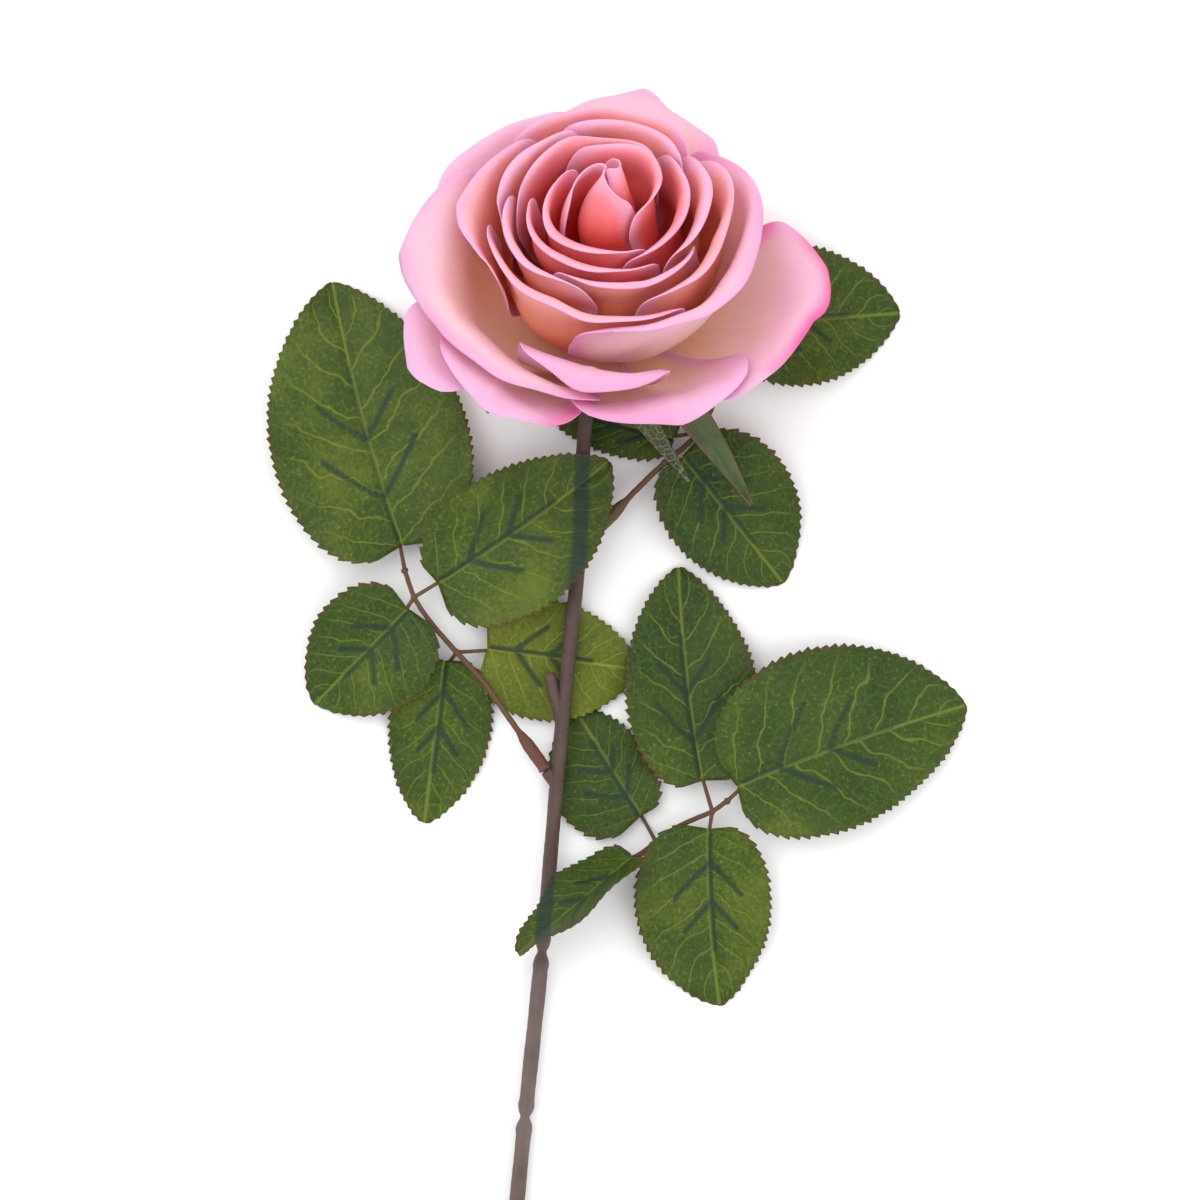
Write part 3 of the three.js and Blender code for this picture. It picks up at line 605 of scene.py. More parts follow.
def add_petals():
    for whorl, (name, roll, ripple, petals) in enumerate(WHORLS):
        slot, material = PETAL_SLOTS[name]
        for k, petal in enumerate(petals):
            tip = TIPS.get((name, k + 1), 0)
            points, edge = petal_grid(petal, roll, ripple, tip, seed=100 * whorl + k)
            run = np.concatenate([
                np.zeros((1, points.shape[1])),
                np.cumsum(np.linalg.norm(np.diff(points, axis=0), axis=2), axis=0),
            ])
            wide = np.concatenate([
                np.zeros((points.shape[0], 1)),
                np.cumsum(np.linalg.norm(np.diff(points, axis=1), axis=2), axis=1),
            ], 1)
            rim = (1 - edge) * (wide[:, -1].max() / 2)
            cloth = (wide - wide[:, -1:] / 2) / MM_PER_M, run / MM_PER_M
            node = f"petal_{name}_{k + 1}"
            sheet(f"cloth_{node}", points, PETAL_CLOTH, material, [node], {"cloth": cloth},
                  {"along": run / run.max(), "rim": rim, "hot": petal[6]})


add_petals()


# ---------------------------------------------------------------- leaf cloth
def leaf_material(name, dark, middle, light, vein, edge_color):
    """Printed cloth: veins, a net between them, speckle, and painted shadows of the ribs and stem
    that lie below it.
    """
    n = Nodes(name)
    shape = n.split(n.uv("shape"))
    cloth = n.uv("cloth")
    size = n.split(cloth)
    s = shape[0]
    w = n.math("MULTIPLY_ADD", shape[1], 2, -1)
    side = n.math("ABSOLUTE", w)
    wobble = n.math("MULTIPLY", n.math("SUBTRACT", n.noise(cloth, 90, 2), 0.5), 0.9)
    offset = n.math("MULTIPLY", n.math("GREATER_THAN", w, 0), 0.42)
    phase = n.math("SUBTRACT", n.math("MULTIPLY", s, 7.6), n.math("MULTIPLY", side, 1.9))
    phase = n.math("ADD", n.math("ADD", phase, offset), wobble)
    saw = n.math("ABSOLUTE", n.math("SUBTRACT", n.math("FRACT", phase), 0.5))
    side_vein = n.math("MULTIPLY", n.span(saw, 0.425, 0.495), n.span(side, 0.98, 0.55, 0.15, 1))
    across = n.math("ABSOLUTE", size[1])
    main_vein = n.span(across, 0.00075, 0.00025)
    small = n.math("MULTIPLY", n.span(n.cells(cloth, 330), 0.08, 0.01), 0.2)
    veins = n.math("MAXIMUM", n.math("MAXIMUM", side_vein, main_vein), small)
    clouds = n.noise(n.place(), 38, 3, 0.6)
    speckle = n.noise(cloth, 900, 3, 0.7)
    tone = n.math("ADD", n.math("MULTIPLY", clouds, 0.75), n.math("MULTIPLY", speckle, 0.45))
    tone = n.math("ADD", tone, n.attribute("tone"))
    color = n.ramp(tone, [(0.32, dark), (0.58, middle), (0.85, light)])
    color = n.blend(n.math("MULTIPLY", veins, 0.55), color, vein)
    dots = n.span(speckle, 0.58, 0.70)
    color = n.blend(n.math("MULTIPLY", dots, 0.5), color, vein)
    # painted shadow: dark lines where the moulded ribs lie behind the leaf, standing in for their
    # shade seen through the cloth
    rib = n.span(n.attribute("rib"), 1.15, 0.25)
    color = n.blend(n.math("MULTIPLY", rib, 0.8), color, (0.010, 0.030, 0.018))
    # painted shadow: the stem's shade, darkening the cloth where the stem lies under the leaf
    color = n.blend(n.math("MULTIPLY", n.attribute("shade"), 0.75), color, (0.008, 0.022, 0.020))
    edge = n.span(n.attribute("edge"), 0.9, 0.1)
    edge = n.math("MULTIPLY", edge, n.span(n.noise(n.place(), 60, 2), 0.35, 0.6))
    color = n.blend(n.math("MULTIPLY", edge, 0.8), color, edge_color)
    under = n.attribute("inside")
    color = n.blend(n.math("MULTIPLY", under, 0.35), color, (0.13, 0.17, 0.07))
    height = n.math("SUBTRACT", n.math("MULTIPLY", speckle, 0.3), n.math("MULTIPLY", veins, 0.8))
    normal = n.bump(height, 0.5, 0.0005)
    normal = n.bump(weave(n, 0.0005), 0.2, 0.00004, normal)
    rough = n.span(speckle, 0.3, 0.8, 0.42, 0.62)
    return n.finish(color, rough, normal, Specular_IOR_Level=0.2)


LEAF_DARK = leaf_material(
    "leaf_cloth",
    dark=(0.006, 0.022, 0.005), middle=(0.028, 0.056, 0.005), light=(0.085, 0.12, 0.009),
    vein=(0.17, 0.21, 0.025), edge_color=(0.10, 0.03, 0.015),
)
LEAF_YOUNG = leaf_material(
    "leaf_young_cloth",
    dark=(0.025, 0.05, 0.004), middle=(0.085, 0.115, 0.006), light=(0.17, 0.19, 0.014),
    vein=(0.26, 0.28, 0.035), edge_color=(0.11, 0.05, 0.02),
)

LEAF_SHAPE = 2.32
LEAF_THICKNESS = 0.5
LEAF_COLUMNS = 26
LEAF_WAVINESS = 0.9
TOOTH_PITCH = 2.05
TOOTH_DEPTH = 1.15
RIB_RADIUS = 0.45
RIB_CLEAR = LEAF_THICKNESS / 2 + FIT_GAP
RIB_DROP = RIB_CLEAR + RIB_RADIUS
RIB_START = 0.03
RIB_END = 0.68
# For each pair of side ribs: where it leaves the midrib, and how far ahead and aside it reaches.
SIDE_RIBS = [(0.18, 0.2, 0.5), (0.4, 0.16, 0.42)]
FAR_AWAY = 50


def leaf(base, tip, left, right, bow=0, rise=0, roll=0, fold=8, tone=0.0, young=False):
    """Ends of the midrib, half widths, bow and rise in mm, and roll and fold in degrees."""
    return dict(base=np.array(base, float), tip=np.array(tip, float), left=left, right=right,
                bow=bow, rise=rise, roll=rad(roll), fold=rad(fold), tone=tone, young=young)


def stem_centres(count):
    """The stem's middle line, from its cut end to its seat in the receptacle."""
    top_of_stem = in_axis(HIP_FOOT)
    bend, foot, seat = (top_of_stem + HEAD_AXIS * h for h in (-7, -2.5, STEM_SEAT))
    bend = bend + [-1, -2.5, 0]
    bend[2] = mix(STEM_HEIGHT, foot[2], 0.25)
    route = [
        (-32.7, -CUT_STEM_LENGTH, STEM_RADIUS), (-20.4, -140.7, 3.6), (-15.8, -95.7, 4.8),
        (-11.8, -50.9, STEM_HEIGHT), (-9.1, -21.4, STEM_HEIGHT), (-5.4, 16.1, STEM_HEIGHT),
        (-4, 48, STEM_HEIGHT), bend, foot, top_of_stem, seat,
    ]
    return spline(route, count)


LEAVES = {
    "left_end": leaf((-53.6, 15, 7), (-73, 86.6, 0), 26.5, 27, bow=3, rise=2, tone=0.06),
    "left_upper": leaf((-43.7, 4.6, 8.5), (2.4, 37.5, 11), 17, 21, bow=-2, rise=3, tone=0.03),
    "left_outer": leaf((-52.3, -2.5, 8), (-77.7, -28.4, 2), 18, 16, rise=2, tone=-0.03),
    "left_lower": leaf((-42.3, -16.8, 4.2), (-48, -60.8, -1), 14.5, 12.5, fold=1, tone=0.03),
    "left_inner": leaf((-30.4, -13.4, 4.2), (10.7, -19, 1.2), 15, 17, fold=4, young=True),
    "right_upper": leaf((27.8, -48.8, 6), (21.4, 8.8, 1), 17, 18.5, bow=2, tone=-0.06),
    "right_end": leaf((37.4, -50.5, 8.5), (100, -28.7, 0), 28, 21.5, bow=2, rise=2),
    "right_lower": leaf((29.2, -62.4, 8), (32.7, -110.7, 0), 16.5, 20, bow=-2, tone=0.02),
    "right_inner": leaf((11.2, -58.5, 2.4), (-7.3, -29.1, -1), 18, 10, fold=1, tone=-0.04),
    "right_stem": leaf(
        (8.6, -69.4, 11), (-22.2, -95.1, 15), 12, 12, roll=62, fold=14, rise=7, tone=0.05),
    "upper_near": leaf((22.5, 38.6, 7), (50, 4.6, 0), 20, 16, tone=-0.08),
    "upper_under": leaf((20, 43.9, 3.8), (-16.6, 54.1, 0), 8.5, 14, tone=0.02),
    "upper_far": leaf((37, 74.5, 5), (81.7, 78.3, 0), 20, 17.5),
}


def turned(vector, axis, angle):
    """Vectors turned about unit axes."""
    return vector * math.cos(angle) + np.cross(axis, vector) * math.sin(angle) + axis * (
        (vector * axis).sum(-1, keepdims=True) * (1 - math.cos(angle)))


def leaf_surface(L, s, w, wavy=0.0, seed=0, tooth=None):
    """Middle surface for s along the midrib and w from -1 to 1 across, and the way across in mm."""
    s, w = np.broadcast_arrays(np.asarray(s, float), np.asarray(w, float))
    flat = unit((L["tip"] - L["base"]) * [1, 1, 0])
    sideways = np.cross(UP, flat)
    middle = (L["base"] + L["tip"]) / 2 + sideways * L["bow"] + UP * L["rise"]
    t = s[..., None]
    spine = (1 - t) ** 2 * L["base"] + 2 * t * (1 - t) * middle + t * t * L["tip"]
    along = unit(2 * (1 - t) * (middle - L["base"]) + 2 * t * (L["tip"] - middle))
    side = turned(unit(np.cross(UP, along)), along, L["roll"])
    up = np.cross(along, side)
    outline = LEAF_SHAPE * np.sqrt(np.maximum(s, 0)) * np.maximum(1 - s, 0) ** 0.75
    half = np.maximum(np.where(w > 0, L["left"], L["right"]) * outline, 0.4)
    if tooth is not None:
        half = half + tooth * np.abs(w) ** 6
    reach = np.abs(w) * half
    point = spine + side * (np.sign(w) * reach * math.cos(L["fold"]))[..., None]
    point = point + up * (reach * math.sin(L["fold"]))[..., None]
    point = point - along * (0.4 * reach * (1 - s) ** 4)[..., None]
    if wavy:
        lift = wavy * (w * w) * np.sin(s * 13 + seed * 1.7 + np.sign(w))
        lift = lift + 0.5 * wavy * waves(seed, 4 * s, 2.2 * w)
        dents = 0.22 * wavy * np.sin(2 * np.pi * (s * 7.6 - np.abs(w) * 1.9))
        dents = dents * (1 - np.abs(w) ** 3) * np.abs(w) ** 0.5
        crease = -0.35 * np.exp(-((reach / 1.3) ** 2))
        point = point + up * (lift + dents + crease)[..., None]
    rim = np.clip(np.maximum(np.abs(w), (s - 0.3) / 0.7), 0, 1) ** 3
    return rest(point, mix(RIB_CLEAR + 2 * RIB_RADIUS, LEAF_THICKNESS / 2, rim)), reach * np.sign(w)


def leaf_under(L, s, w):
    """Where a rib's middle line lies under the leaf."""
    point, _ = leaf_surface(L, s, w)
    ahead = leaf_surface(L, np.asarray(s) + SLOPE_STEP, w)[0] - point
    aside = leaf_surface(L, s, np.asarray(w) + SLOPE_STEP)[0] - point
    return point - unit(np.cross(ahead, aside)) * RIB_DROP


def segment_distance(points, a, b):
    t = np.clip(((points - a) @ (b - a)) / ((b - a) @ (b - a)), 0, 1)
    return np.linalg.norm(points - a - t[..., None] * (b - a), axis=-1)


STEM_LINE = stem_centres(260)


def leaf_teeth(length, seed):
    """Places along the midrib from 0 to 1 and how far the rim stands out at each, in mm."""
    teeth = int(length / TOOTH_PITCH)
    rng = np.random.default_rng(seed)
    knots, tooth = [0.0], [0.0]
    for k in range(teeth):
        begin, end = k / teeth, (k + 1) / teeth
        depth = rng.uniform(0.6, 1.0) * TOOTH_DEPTH
        knots += [begin + (end - begin) * 0.45, begin + (end - begin) * 0.8, end]
        tooth += [depth * 0.55, depth, 0.0]
    return 1 - (1 - np.array(knots)) ** 1.12, np.array(tooth)


def rib_shadow_distance(L, spot, length):
    """Distance from each spot, as mm along and across the leaf, to the nearest rib behind it, which
    places the painted rib shadows.
    """
    ribs = [(RIB_START, 0.0, RIB_END, 0.0)]
    for begin, ahead, aside in SIDE_RIBS:
        ribs += [(begin, 0.0, begin + ahead, side * aside) for side in (1, -1)]
    distance = np.full(spot.shape[:2], float(FAR_AWAY))
    for s0, w0, s1, w1 in ribs:
        ends = [
            np.array([s * length, float(leaf_surface(L, s, w)[1]) + 0.7])
            for s, w in ((s0, w0), (s1, w1))
        ]
        distance = np.minimum(distance, segment_distance(spot, *ends))
    return distance


def stem_shade(points):
    """Mask of the painted stem shadow: 1 where the stem lies under the points, 0 where it doesn't.
    """
    below, above = STEM_LINE[None, None], points[:, :, None]
    apart = np.linalg.norm(above[..., :2] - below[..., :2], axis=-1)
    apart = np.where(below[..., 2] < above[..., 2], apart, FAR_AWAY).min(-1)
    return smooth((STEM_RADIUS + 0.5 - apart) / 0.9)


def add_leaves():
    w = np.linspace(-1, 1, 2 * LEAF_COLUMNS + 1)
    w = np.sign(w) * np.abs(w) ** 0.85
    for number, (name, L) in enumerate(LEAVES.items()):
        length = np.linalg.norm(L["tip"] - L["base"])
        s, tooth = leaf_teeth(length, 700 + number)
        ss, ww = np.meshgrid(s, w, indexing="ij")
        tt = np.broadcast_to(tooth[:, None], ss.shape)
        points, across = leaf_surface(L, ss, ww, wavy=LEAF_WAVINESS, seed=number, tooth=tt)
        spot = np.stack([ss * length, across], -1)
        wide = np.maximum(np.abs(across[:, :1]), np.abs(across[:, -1:]))
        rim = np.minimum((1 - np.abs(ww)) * wide, (1 - ss) * length)
        # columns are turned about, so that the front face is the upper one
        flip = lambda values: values[:, ::-1]
        cloth = flip(spot) / MM_PER_M
        node = f"leaf_{name}"
        sheet(
            f"cloth_{node}", flip(points), LEAF_CLOTH,
            LEAF_YOUNG if L["young"] else LEAF_DARK, [node],
            {"shape": (flip(ss), (flip(ww) + 1) / 2), "cloth": (cloth[..., 0], cloth[..., 1])},
            # rib carries the distance for the painted rib shadows, shade the mask of the painted
            # stem shadow
            {"tone": L["tone"], "rib": flip(rib_shadow_distance(L, spot, length)), "edge": flip(rim),
             "shade": flip(stem_shade(points))},
        )


add_leaves()


# ---------------------------------------------------------------- moulded plastic
def moulded(name, stops, scale, gloss, patches):
    """Painted plastic with a grain along its tubes, clouds of colour and flecks."""
    n = Nodes(name)
    place = n.place()
    tube = n.uv("tube")
    grain = n.noise(n.stretch(tube, (18, 260, 1)), 1, 4, 0.65)
    clouds = n.noise(place, scale, 3, 0.6)
    key = n.math("ADD", n.math("MULTIPLY", grain, 0.45), n.math("MULTIPLY", clouds, 0.75))
    key = n.math("ADD", key, n.attribute("tone"))
    color = n.ramp(key, stops)
    flecks = n.span(n.noise(place, 1500, 2, 0.7), 0.6, 0.75)
    color = n.blend(n.math("MULTIPLY", flecks, 0.35), color, patches)
    normal = n.bump(grain, 0.5, 0.0004)
    normal = n.bump(n.noise(place, 900, 3, 0.6), 0.25, 0.0002, normal)
    rough = n.span(clouds, 0.3, 0.7, gloss, gloss + 0.18)
    return n.finish(color, rough, normal, Specular_IOR_Level=0.4)


STEM_PLASTIC = moulded(
    "stem_plastic",
    [(0.25, (0.030, 0.014, 0.012)), (0.5, (0.070, 0.038, 0.032)), (0.8, (0.15, 0.11, 0.10))],
    scale=45, gloss=0.42, patches=(0.26, 0.2, 0.18),
)
SPRAY_PLASTIC = moulded(
    "spray_plastic",
    [(0.25, (0.05, 0.012, 0.01)), (0.5, (0.12, 0.035, 0.022)), (0.85, (0.10, 0.10, 0.03))],
    scale=70, gloss=0.4, patches=(0.2, 0.12, 0.06),
)
HIP_PLASTIC = moulded(
    "hip_plastic",
    [(0.25, (0.02, 0.045, 0.012)), (0.5, (0.05, 0.09, 0.02)), (0.8, (0.12, 0.15, 0.04))],
    scale=60, gloss=0.3, patches=(0.12, 0.06, 0.03),
)

# For each spray: where its spur leaves the stem, the points its rachis passes, and for each leaf
# the number of the point its twig leaves from.
SPRAYS = {
    "left": dict(
        joint=(-12.3, -49.5, STEM_HEIGHT),
        route=[(-25.5, -30.8, 7.5), (-32.2, -21.4, 7), (-38.9, -14.2, 6.8), (-46.9, -4.8, 6.8)],
        ends=[(-50.4, 0.8, 6.8), (-53, 8, 6.5)],
        twigs=[("left_end", 5), ("left_upper", 4), ("left_outer", 4), ("left_lower", 2),
               ("left_inner", 2)],
    ),
    "right": dict(
        joint=(-14, -83.6, STEM_HEIGHT - 0.6),
        route=[(1.3, -74, 6), (9.4, -70, 5.8), (15.3, -65.9, 5.5), (22.2, -61.1, 5.5)],
        ends=[(30.5, -57.4, 6), (34.5, -54.6, 6.5)],
        twigs=[("right_end", 5), ("right_upper", 4), ("right_lower", 4), ("right_inner", 2),
               ("right_stem", 1)],
    ),
    "upper": dict(
        joint=(-4.5, 15.2, STEM_HEIGHT),
        route=[(12, 32, 7), (17.5, 37.2, 6.5), (26.8, 45.6, 5), (33, 59, 4.6)],
        ends=[(35.5, 67, 4.6), (36.3, 70.5, 4.6)],
        twigs=[("upper_far", 5), ("upper_near", 1), ("upper_under", 2)],
    ),
}


def moulded_object(name, parts, material, nodes, tone=0.0):
    verts, faces, run, turn = joined(parts)
    build(name, verts, faces, material, nodes,
          {"tube": np.stack([run / MM_PER_M, turn], 1)},
          {"tone": np.broadcast_to(tone, len(verts))})


def knobbly(amount, seed):
    """A swell for tube_mesh that makes a moulded twig uneven."""
    return lambda run, turn: 1 + amount * (
        np.sin(run * 0.9 + seed) * np.sin(2 * np.pi * turn + seed)
        + 0.6 * np.sin(run * 2.3 + 2 * seed + 6 * np.pi * turn)
    )


KNOT_REACH = np.array([0.9, 0.4, 0])


def spray_sleeve(at, sleeve_end, number):
    """The sleeve, with a collar at its mouth and a taper to the rachis."""
    mouth = [at(SLEEVE_START), at(SLEEVE_START + SLEEVE_LENGTH * 0.6), at(sleeve_end)]
    t = np.linspace(0, 1, 40)
    radii = mix(SLEEVE_RADIUS, RACHIS_RADIUS, np.clip((t - 0.6) / 0.4, 0, 1) ** 1.5)
    collar = 0.10 * np.exp(-((t - 0.03) / 0.04) ** 2)
    groove = 0.06 * np.exp(-((t - 0.14) / 0.05) ** 2)
    radii = radii * (1 + collar - groove)
    radii[0] *= 0.86
    return tube_mesh(spline(mouth, 40), radii, 20, knobbly(0.03, number))


def leaf_ribs(L):
    """The midrib and side ribs behind a leaf."""
    middle = np.array([leaf_under(L, s, 0.0) for s in (RIB_START, 0.2, 0.36, 0.52, RIB_END)])
    parts = [tube_mesh(spline(middle, 40), RIB_RADIUS * np.linspace(1.25, 0.75, 40), 8)]
    for s, reach, w in SIDE_RIBS:
        for side in (-1, 1):
            line = [
                leaf_under(L, s, 0.0),
                leaf_under(L, s + reach / 2, side * w / 2),
                leaf_under(L, s + reach, side * w),
            ]
            parts.append(tube_mesh(spline(line, 14), RIB_RADIUS * np.linspace(0.9, 0.5, 14), 8))
    return parts


def add_sprays():
    for number, (name, spray) in enumerate(SPRAYS.items()):
        joint = np.array(spray["joint"], float)
        route = [np.array(p, float) for p in spray["route"]]
        ends = [np.array(p, float) for p in spray["ends"]]
        away = unit(route[0] - joint)
        at = lambda d: joint + away * d
        sleeve_end = SLEEVE_START + SLEEVE_LENGTH
        passed = 1 if sleeve_end > np.linalg.norm(route[0] - joint) else 0
        parts = [spray_sleeve(at, sleeve_end, number)]
        spine = spline([at(sleeve_end - 1), *route[passed:], *ends], 130)
        taper = 1.1 - 0.25 * np.linspace(0, 1, 130)
        parts.append(tube_mesh(spine, RACHIS_RADIUS * taper, 14, knobbly(0.05, number + 3)))
        stops = route + ends
        for number_of_stop in sorted({stop for _, stop in spray["twigs"]}):
            stop = stops[number_of_stop]
            knot = spline([stop - KNOT_REACH, stop, stop + KNOT_REACH], 9)
            bulge = 0.5 + 0.8 * np.sin(np.linspace(0, np.pi, 9))
            parts.append(tube_mesh(knot, RACHIS_RADIUS * bulge, 12))
        for leaf_name, stop in spray["twigs"]:
            L = LEAVES[leaf_name]
            end = leaf_under(L, 0.05, 0.0)
            bend = (stops[stop] + end) / 2
            bend[2] = min(bend[2], end[2])
            twig = spline([stops[stop], bend, end], 16)
            parts.append(tube_mesh(twig, np.linspace(0.78, 0.6, 16) * RACHIS_RADIUS, 10))
            parts += leaf_ribs(L)
        node = f"leaf_spray_{name}"
        moulded_object(f"moulded_{node}", parts, SPRAY_PLASTIC, [node])


add_sprays()


def stem_radius(y):
    """The stem's radius at each place along it, with a neck between two collars at even steps."""
    body = STEM_RADIUS * np.where(y < FIRST_NECK_Y, 1.0, 0.94)
    past = FIRST_NECK_Y - y
    n = np.maximum(0, np.round(past / NECK_PITCH))
    off = np.abs(past - n * NECK_PITCH)
    past_last = FIRST_NECK_Y - n * NECK_PITCH < LAST_NECK_Y
    necking = np.where(past_last, 0, np.exp(-((off / NECK_LENGTH) ** 2)))
    collar = np.where(necking > 0, 0.09 * np.exp(-((off - COLLAR_OFFSET) ** 2)), 0)
    return body * (1 - (1 - NECK_SHARE) * necking + collar)


def stem_ridges(run, turn):
    """A swell for tube_mesh: long low ridges and one mould seam."""
    seam = 0.05 * np.exp(-(((turn - 0.02) / 0.02) ** 2))
    return (
        1
        + 0.022 * np.sin(run * 0.35 + 4 * np.pi * turn)
        + 0.02 * np.cos(10 * np.pi * turn + run * 0.04)
        + 0.012 * np.sin(run * 1.7 + 2 * np.pi * turn)
        + seam
    )


def add_stem():
    centres = stem_centres(900)
    parts = [tube_mesh(centres, stem_radius(centres[:, 1]), 28, stem_ridges)]
    for spray in SPRAYS.values():
        joint = np.array(spray["joint"], float)
        away = unit(np.array(spray["route"][0], float) - joint)
        mouth = SLEEVE_START - FIT_GAP
        t = np.linspace(0, 1, 14)
        spur = joint + away * (t * mouth)[:, None]
        spur_radii = mix(STEM_RADIUS * 0.85, SLEEVE_RADIUS, t) * (1 - 0.12 * (t > 0.95))
        parts.append(tube_mesh(spur, spur_radii, 20))
        peg = joint + away * np.linspace(mouth - 1, mouth + 5, 6)[:, None]
        parts.append(tube_mesh(peg, np.full(6, PEG_RADIUS), 12))
    stub = spline([
        (-9.8, -35, STEM_HEIGHT), (-12, -27, STEM_HEIGHT + 0.2), (-13.7, -19.8, STEM_HEIGHT + 0.4),
    ], 30)
    t = np.linspace(0, 1, 30)
    stub_end = 1 - 0.25 * np.clip((t - 0.93) / 0.07, 0, 1) ** 2
    stub_radii = mix(STUB_RADIUS, STUB_RADIUS - 0.15, t) * stub_end
    parts.append(tube_mesh(stub, stub_radii, 20, knobbly(0.03, 5)))
    verts = joined(parts)[0]
    # the stem is paler towards its cut end
    tone = 0.16 * smooth((-60 - verts[:, 1]) / 60) - 0.05
    moulded_object("moulded_stem", parts, STEM_PLASTIC, ["stem"], tone)


add_stem()


def add_receptacle():
    """HIP_PROFILE turned about the head's axis, with five low ribs on the hip."""
    turns = 48
    outline = []
    for (r0, h0), (r1, h1) in zip(HIP_PROFILE, HIP_PROFILE[1:]):
        for t in np.linspace(0, 1, 4, endpoint=False):
            outline.append((mix(r0, r1, t), mix(h0, h1, t)))
    outline.append(HIP_PROFILE[-1])
    outline = np.array(outline[1:-1])
    angle = np.arange(turns) / turns * 2 * np.pi
    ribs = 1 + 0.03 * np.cos(5 * angle)[None, :] * smooth((outline[:, 0] - 3) / 3)[:, None]
    height = outline[:, 1:] * np.ones(turns)
    verts = in_head(outline[:, :1] * ribs, angle[None, :], height).reshape(-1, 3)
    verts = np.vstack([verts, in_axis(HIP_PROFILE[0][1]), in_axis(CORE_TOP)])
    first, last, rows = len(verts) - 2, len(verts) - 1, len(outline)
    faces = []
    for j in range(rows - 1):
        for k in range(turns):
            a, b = j * turns + k, j * turns + (k + 1) % turns
            faces.append((a, b, b + turns, a + turns))
    for k in range(turns):
        faces.append((first, (k + 1) % turns, k))
        faces.append((last, (rows - 1) * turns + k, (rows - 1) * turns + (k + 1) % turns))
    run = np.append(np.repeat(np.arange(rows) * 0.6, turns), [0, 0]) / MM_PER_M
    turn = np.append(np.tile(angle / (2 * np.pi), rows), [0, 0])
    build("moulded_receptacle", verts, faces, HIP_PLASTIC, ["receptacle"],
          {"tube": np.stack([run, turn], 1)}, {"tone": np.zeros(len(verts))})


add_receptacle()


# ---------------------------------------------------------------- sepals
def sepal_material():
    """Glossy green with fine lines, red-brown patches at the rim, and on one sepal a net."""
    n = Nodes("sepal_plastic")
    shape = n.split(n.uv("shape"))
    w = n.math("MULTIPLY_ADD", shape[1], 2, -1)
    lines = n.math("ABSOLUTE", n.math("SINE", n.math("MULTIPLY", w, 16)))
    clouds = n.noise(n.place(), 90, 3, 0.6)
    greens = [(0.3, (0.012, 0.035, 0.006)), (0.55, (0.04, 0.08, 0.010)), (0.8, (0.11, 0.15, 0.02))]
    color = n.ramp(clouds, greens)
    color = n.blend(n.math("MULTIPLY", n.span(lines, 0.25, 0.02), 0.5), color, (0.2, 0.21, 0.07))
    patches = n.span(n.noise(n.place(), 45, 2), 0.4, 0.6)
    red = n.math("MULTIPLY", n.span(n.math("ABSOLUTE", w), 0.6, 1.0), patches)
    color = n.blend(red, color, (0.15, 0.04, 0.022))
    net = n.span(n.cells(n.uv("cloth"), 700), 0.12, 0.02)
    net = n.math("MULTIPLY", net, n.attribute("net"))
    color = n.blend(n.math("MULTIPLY", net, 0.5), color, (0.22, 0.27, 0.2))
    height = n.math("ADD", n.math("MULTIPLY", lines, -0.4), net)
    normal = n.bump(height, 0.6, 0.0004)
    return n.finish(color, n.span(clouds, 0.3, 0.7, 0.18, 0.32), normal, Specular_IOR_Level=0.6)


# For each sepal: azimuth of its foot, azimuth, radius and height of its tip, half width, and net.
SEPALS = [
    (-38, (-48, 59.6, -40.6), 6.5, 0.0),
    (-88, (-63, 50.2, -28.1), 4.6, 1.0),
    (-140, (-142, 40, -24.8), 5, 0.0),
    (15, (-21, 42.2, -27), 4.5, 0.0),
    (100, (103, 34, -6.5), 5, 0.0),
]


def add_sepals():
    material = sepal_material()
    s, w = np.meshgrid(np.linspace(0, 1, 61), np.linspace(1, -1, 25), indexing="ij")
    t = s[..., None]
    for k, (azimuth, (tip_azimuth, tip_radius, tip_height), half, net) in enumerate(SEPALS):
        start = in_head(HIP_RADIUS + FIT_GAP + 0.3, rad(azimuth), HIP_TOP - 1.2)
        knee = in_head(HIP_RADIUS + 12, rad(azimuth), HIP_TOP - 3)
        end = in_head(tip_radius, rad(tip_azimuth), tip_height)
        spine = (1 - t) ** 2 * start + 2 * t * (1 - t) * knee + t * t * end
        along = unit((1 - t) * (knee - start) + t * (end - knee))
        side = unit(np.cross(HEAD_AXIS, along))
        up = np.cross(along, side)
        outline = np.maximum(1.9 * (s + 0.12) ** 0.6 * np.maximum(1 - s, 0) ** 0.8, 0.08)
        reach = w * half * outline
        ripple = 0.5 * np.sin(9 * s + k) * w * w + 0.4 * waves(900 + k, 5 * s, 2 * w)
        lift = -0.25 * reach**2 / half + ripple - 0.3 * np.exp(-((reach / 0.7) ** 2))
        points = rest(spine + side * reach[..., None] + up * lift[..., None], REST_LOWEST)
        length = np.linalg.norm(end - start)
        node = f"sepal_{k + 1}"
        sheet(f"moulded_{node}", points, SEPAL_THICKNESS, material, [node],
              {"shape": (s, (w + 1) / 2), "cloth": (s * length / MM_PER_M, reach / MM_PER_M)},
              {"net": net})


add_sepals()


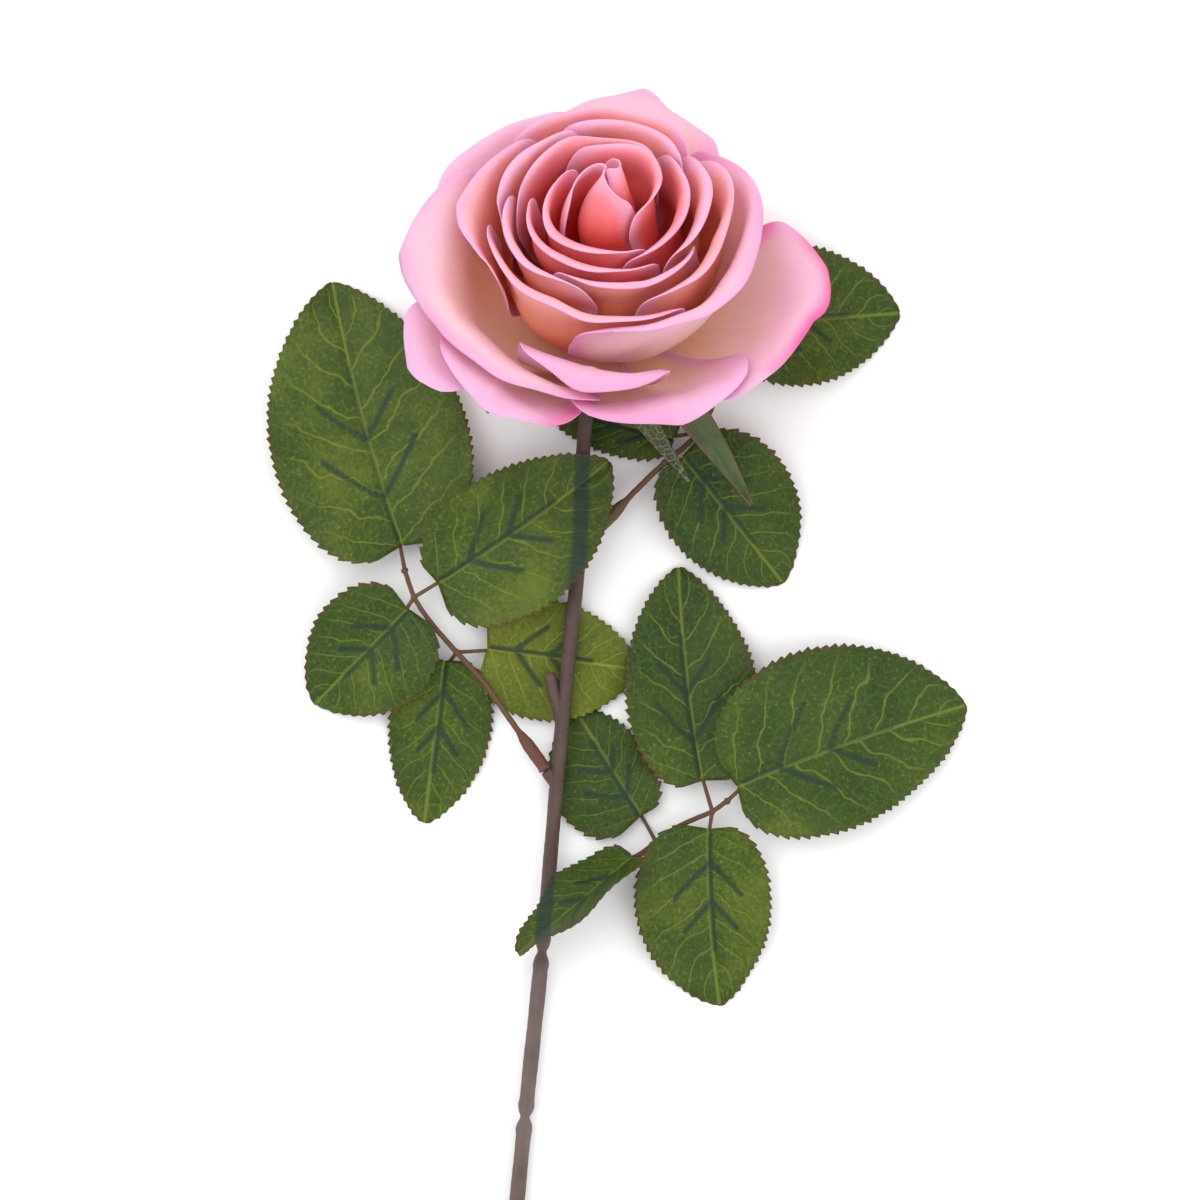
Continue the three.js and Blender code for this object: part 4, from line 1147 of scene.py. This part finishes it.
# ---------------------------------------------------------------- floor, light and camera
FLOOR_HALF = 4
WORLD_STRENGTH = 1.05
LAMP_SIZE = 1.2
CAMERA_HEIGHT = 1.1
SENSOR_WIDTH = 36
# the picture's width, in metres, in a plane between the surface and the top of the head
PICTURE_WIDTH = 0.3217
PICTURE_PLANE = 0.02


def stage_material():
    n = Nodes("floor_paper")
    greys = [(0.3, (0.92, 0.92, 0.92)), (0.7, (0.95, 0.95, 0.95))]
    shade = n.ramp(n.noise(n.place(), 8, 3), greys, "LINEAR")
    return n.finish(shade, 0.9, Specular_IOR_Level=0.1)


floor_mesh = bpy.data.meshes.new("floor")
floor_corners = [
    (x * FLOOR_HALF, y * FLOOR_HALF, 0) for x, y in ((-1, -1), (1, -1), (1, 1), (-1, 1))
]
floor_mesh.from_pydata(floor_corners, [], [(0, 1, 2, 3)])
floor_mesh.materials.append(stage_material())
floor = bpy.data.objects.new("floor", floor_mesh)
bpy.context.scene.collection.objects.link(floor)

scene = bpy.context.scene
scene.view_settings.view_transform = "Standard"
world = bpy.data.worlds.new("studio")
world.use_nodes = True
world.node_tree.nodes["Background"].inputs[0].default_value = (1, 1, 1, 1)
world.node_tree.nodes["Background"].inputs[1].default_value = WORLD_STRENGTH
scene.world = world


centre = SHIFT / MM_PER_M


def area_light(name, right, far, height, power):
    """A square lamp in watts, placed from the picture's middle and aimed at it."""
    data = bpy.data.lights.new(name, "AREA")
    data.size = LAMP_SIZE
    data.energy = power
    lamp = bpy.data.objects.new(name, data)
    place = Vector((centre[0] + right, centre[1] + far, height))
    aim = Vector((centre[0], centre[1], 0)) - place
    lamp.location = place
    lamp.rotation_euler = aim.to_track_quat("-Z", "Y").to_euler()
    scene.collection.objects.link(lamp)


area_light("key", -0.55, 0.55, 1.25, 9)
area_light("fill", 0.9, -0.5, 1.0, 5)

camera = bpy.data.objects.new("camera", bpy.data.cameras.new("camera"))
camera.location = (centre[0], centre[1], CAMERA_HEIGHT)
camera.data.sensor_width = SENSOR_WIDTH
camera.data.lens = SENSOR_WIDTH * (CAMERA_HEIGHT - PICTURE_PLANE) / PICTURE_WIDTH
scene.collection.objects.link(camera)
scene.camera = camera
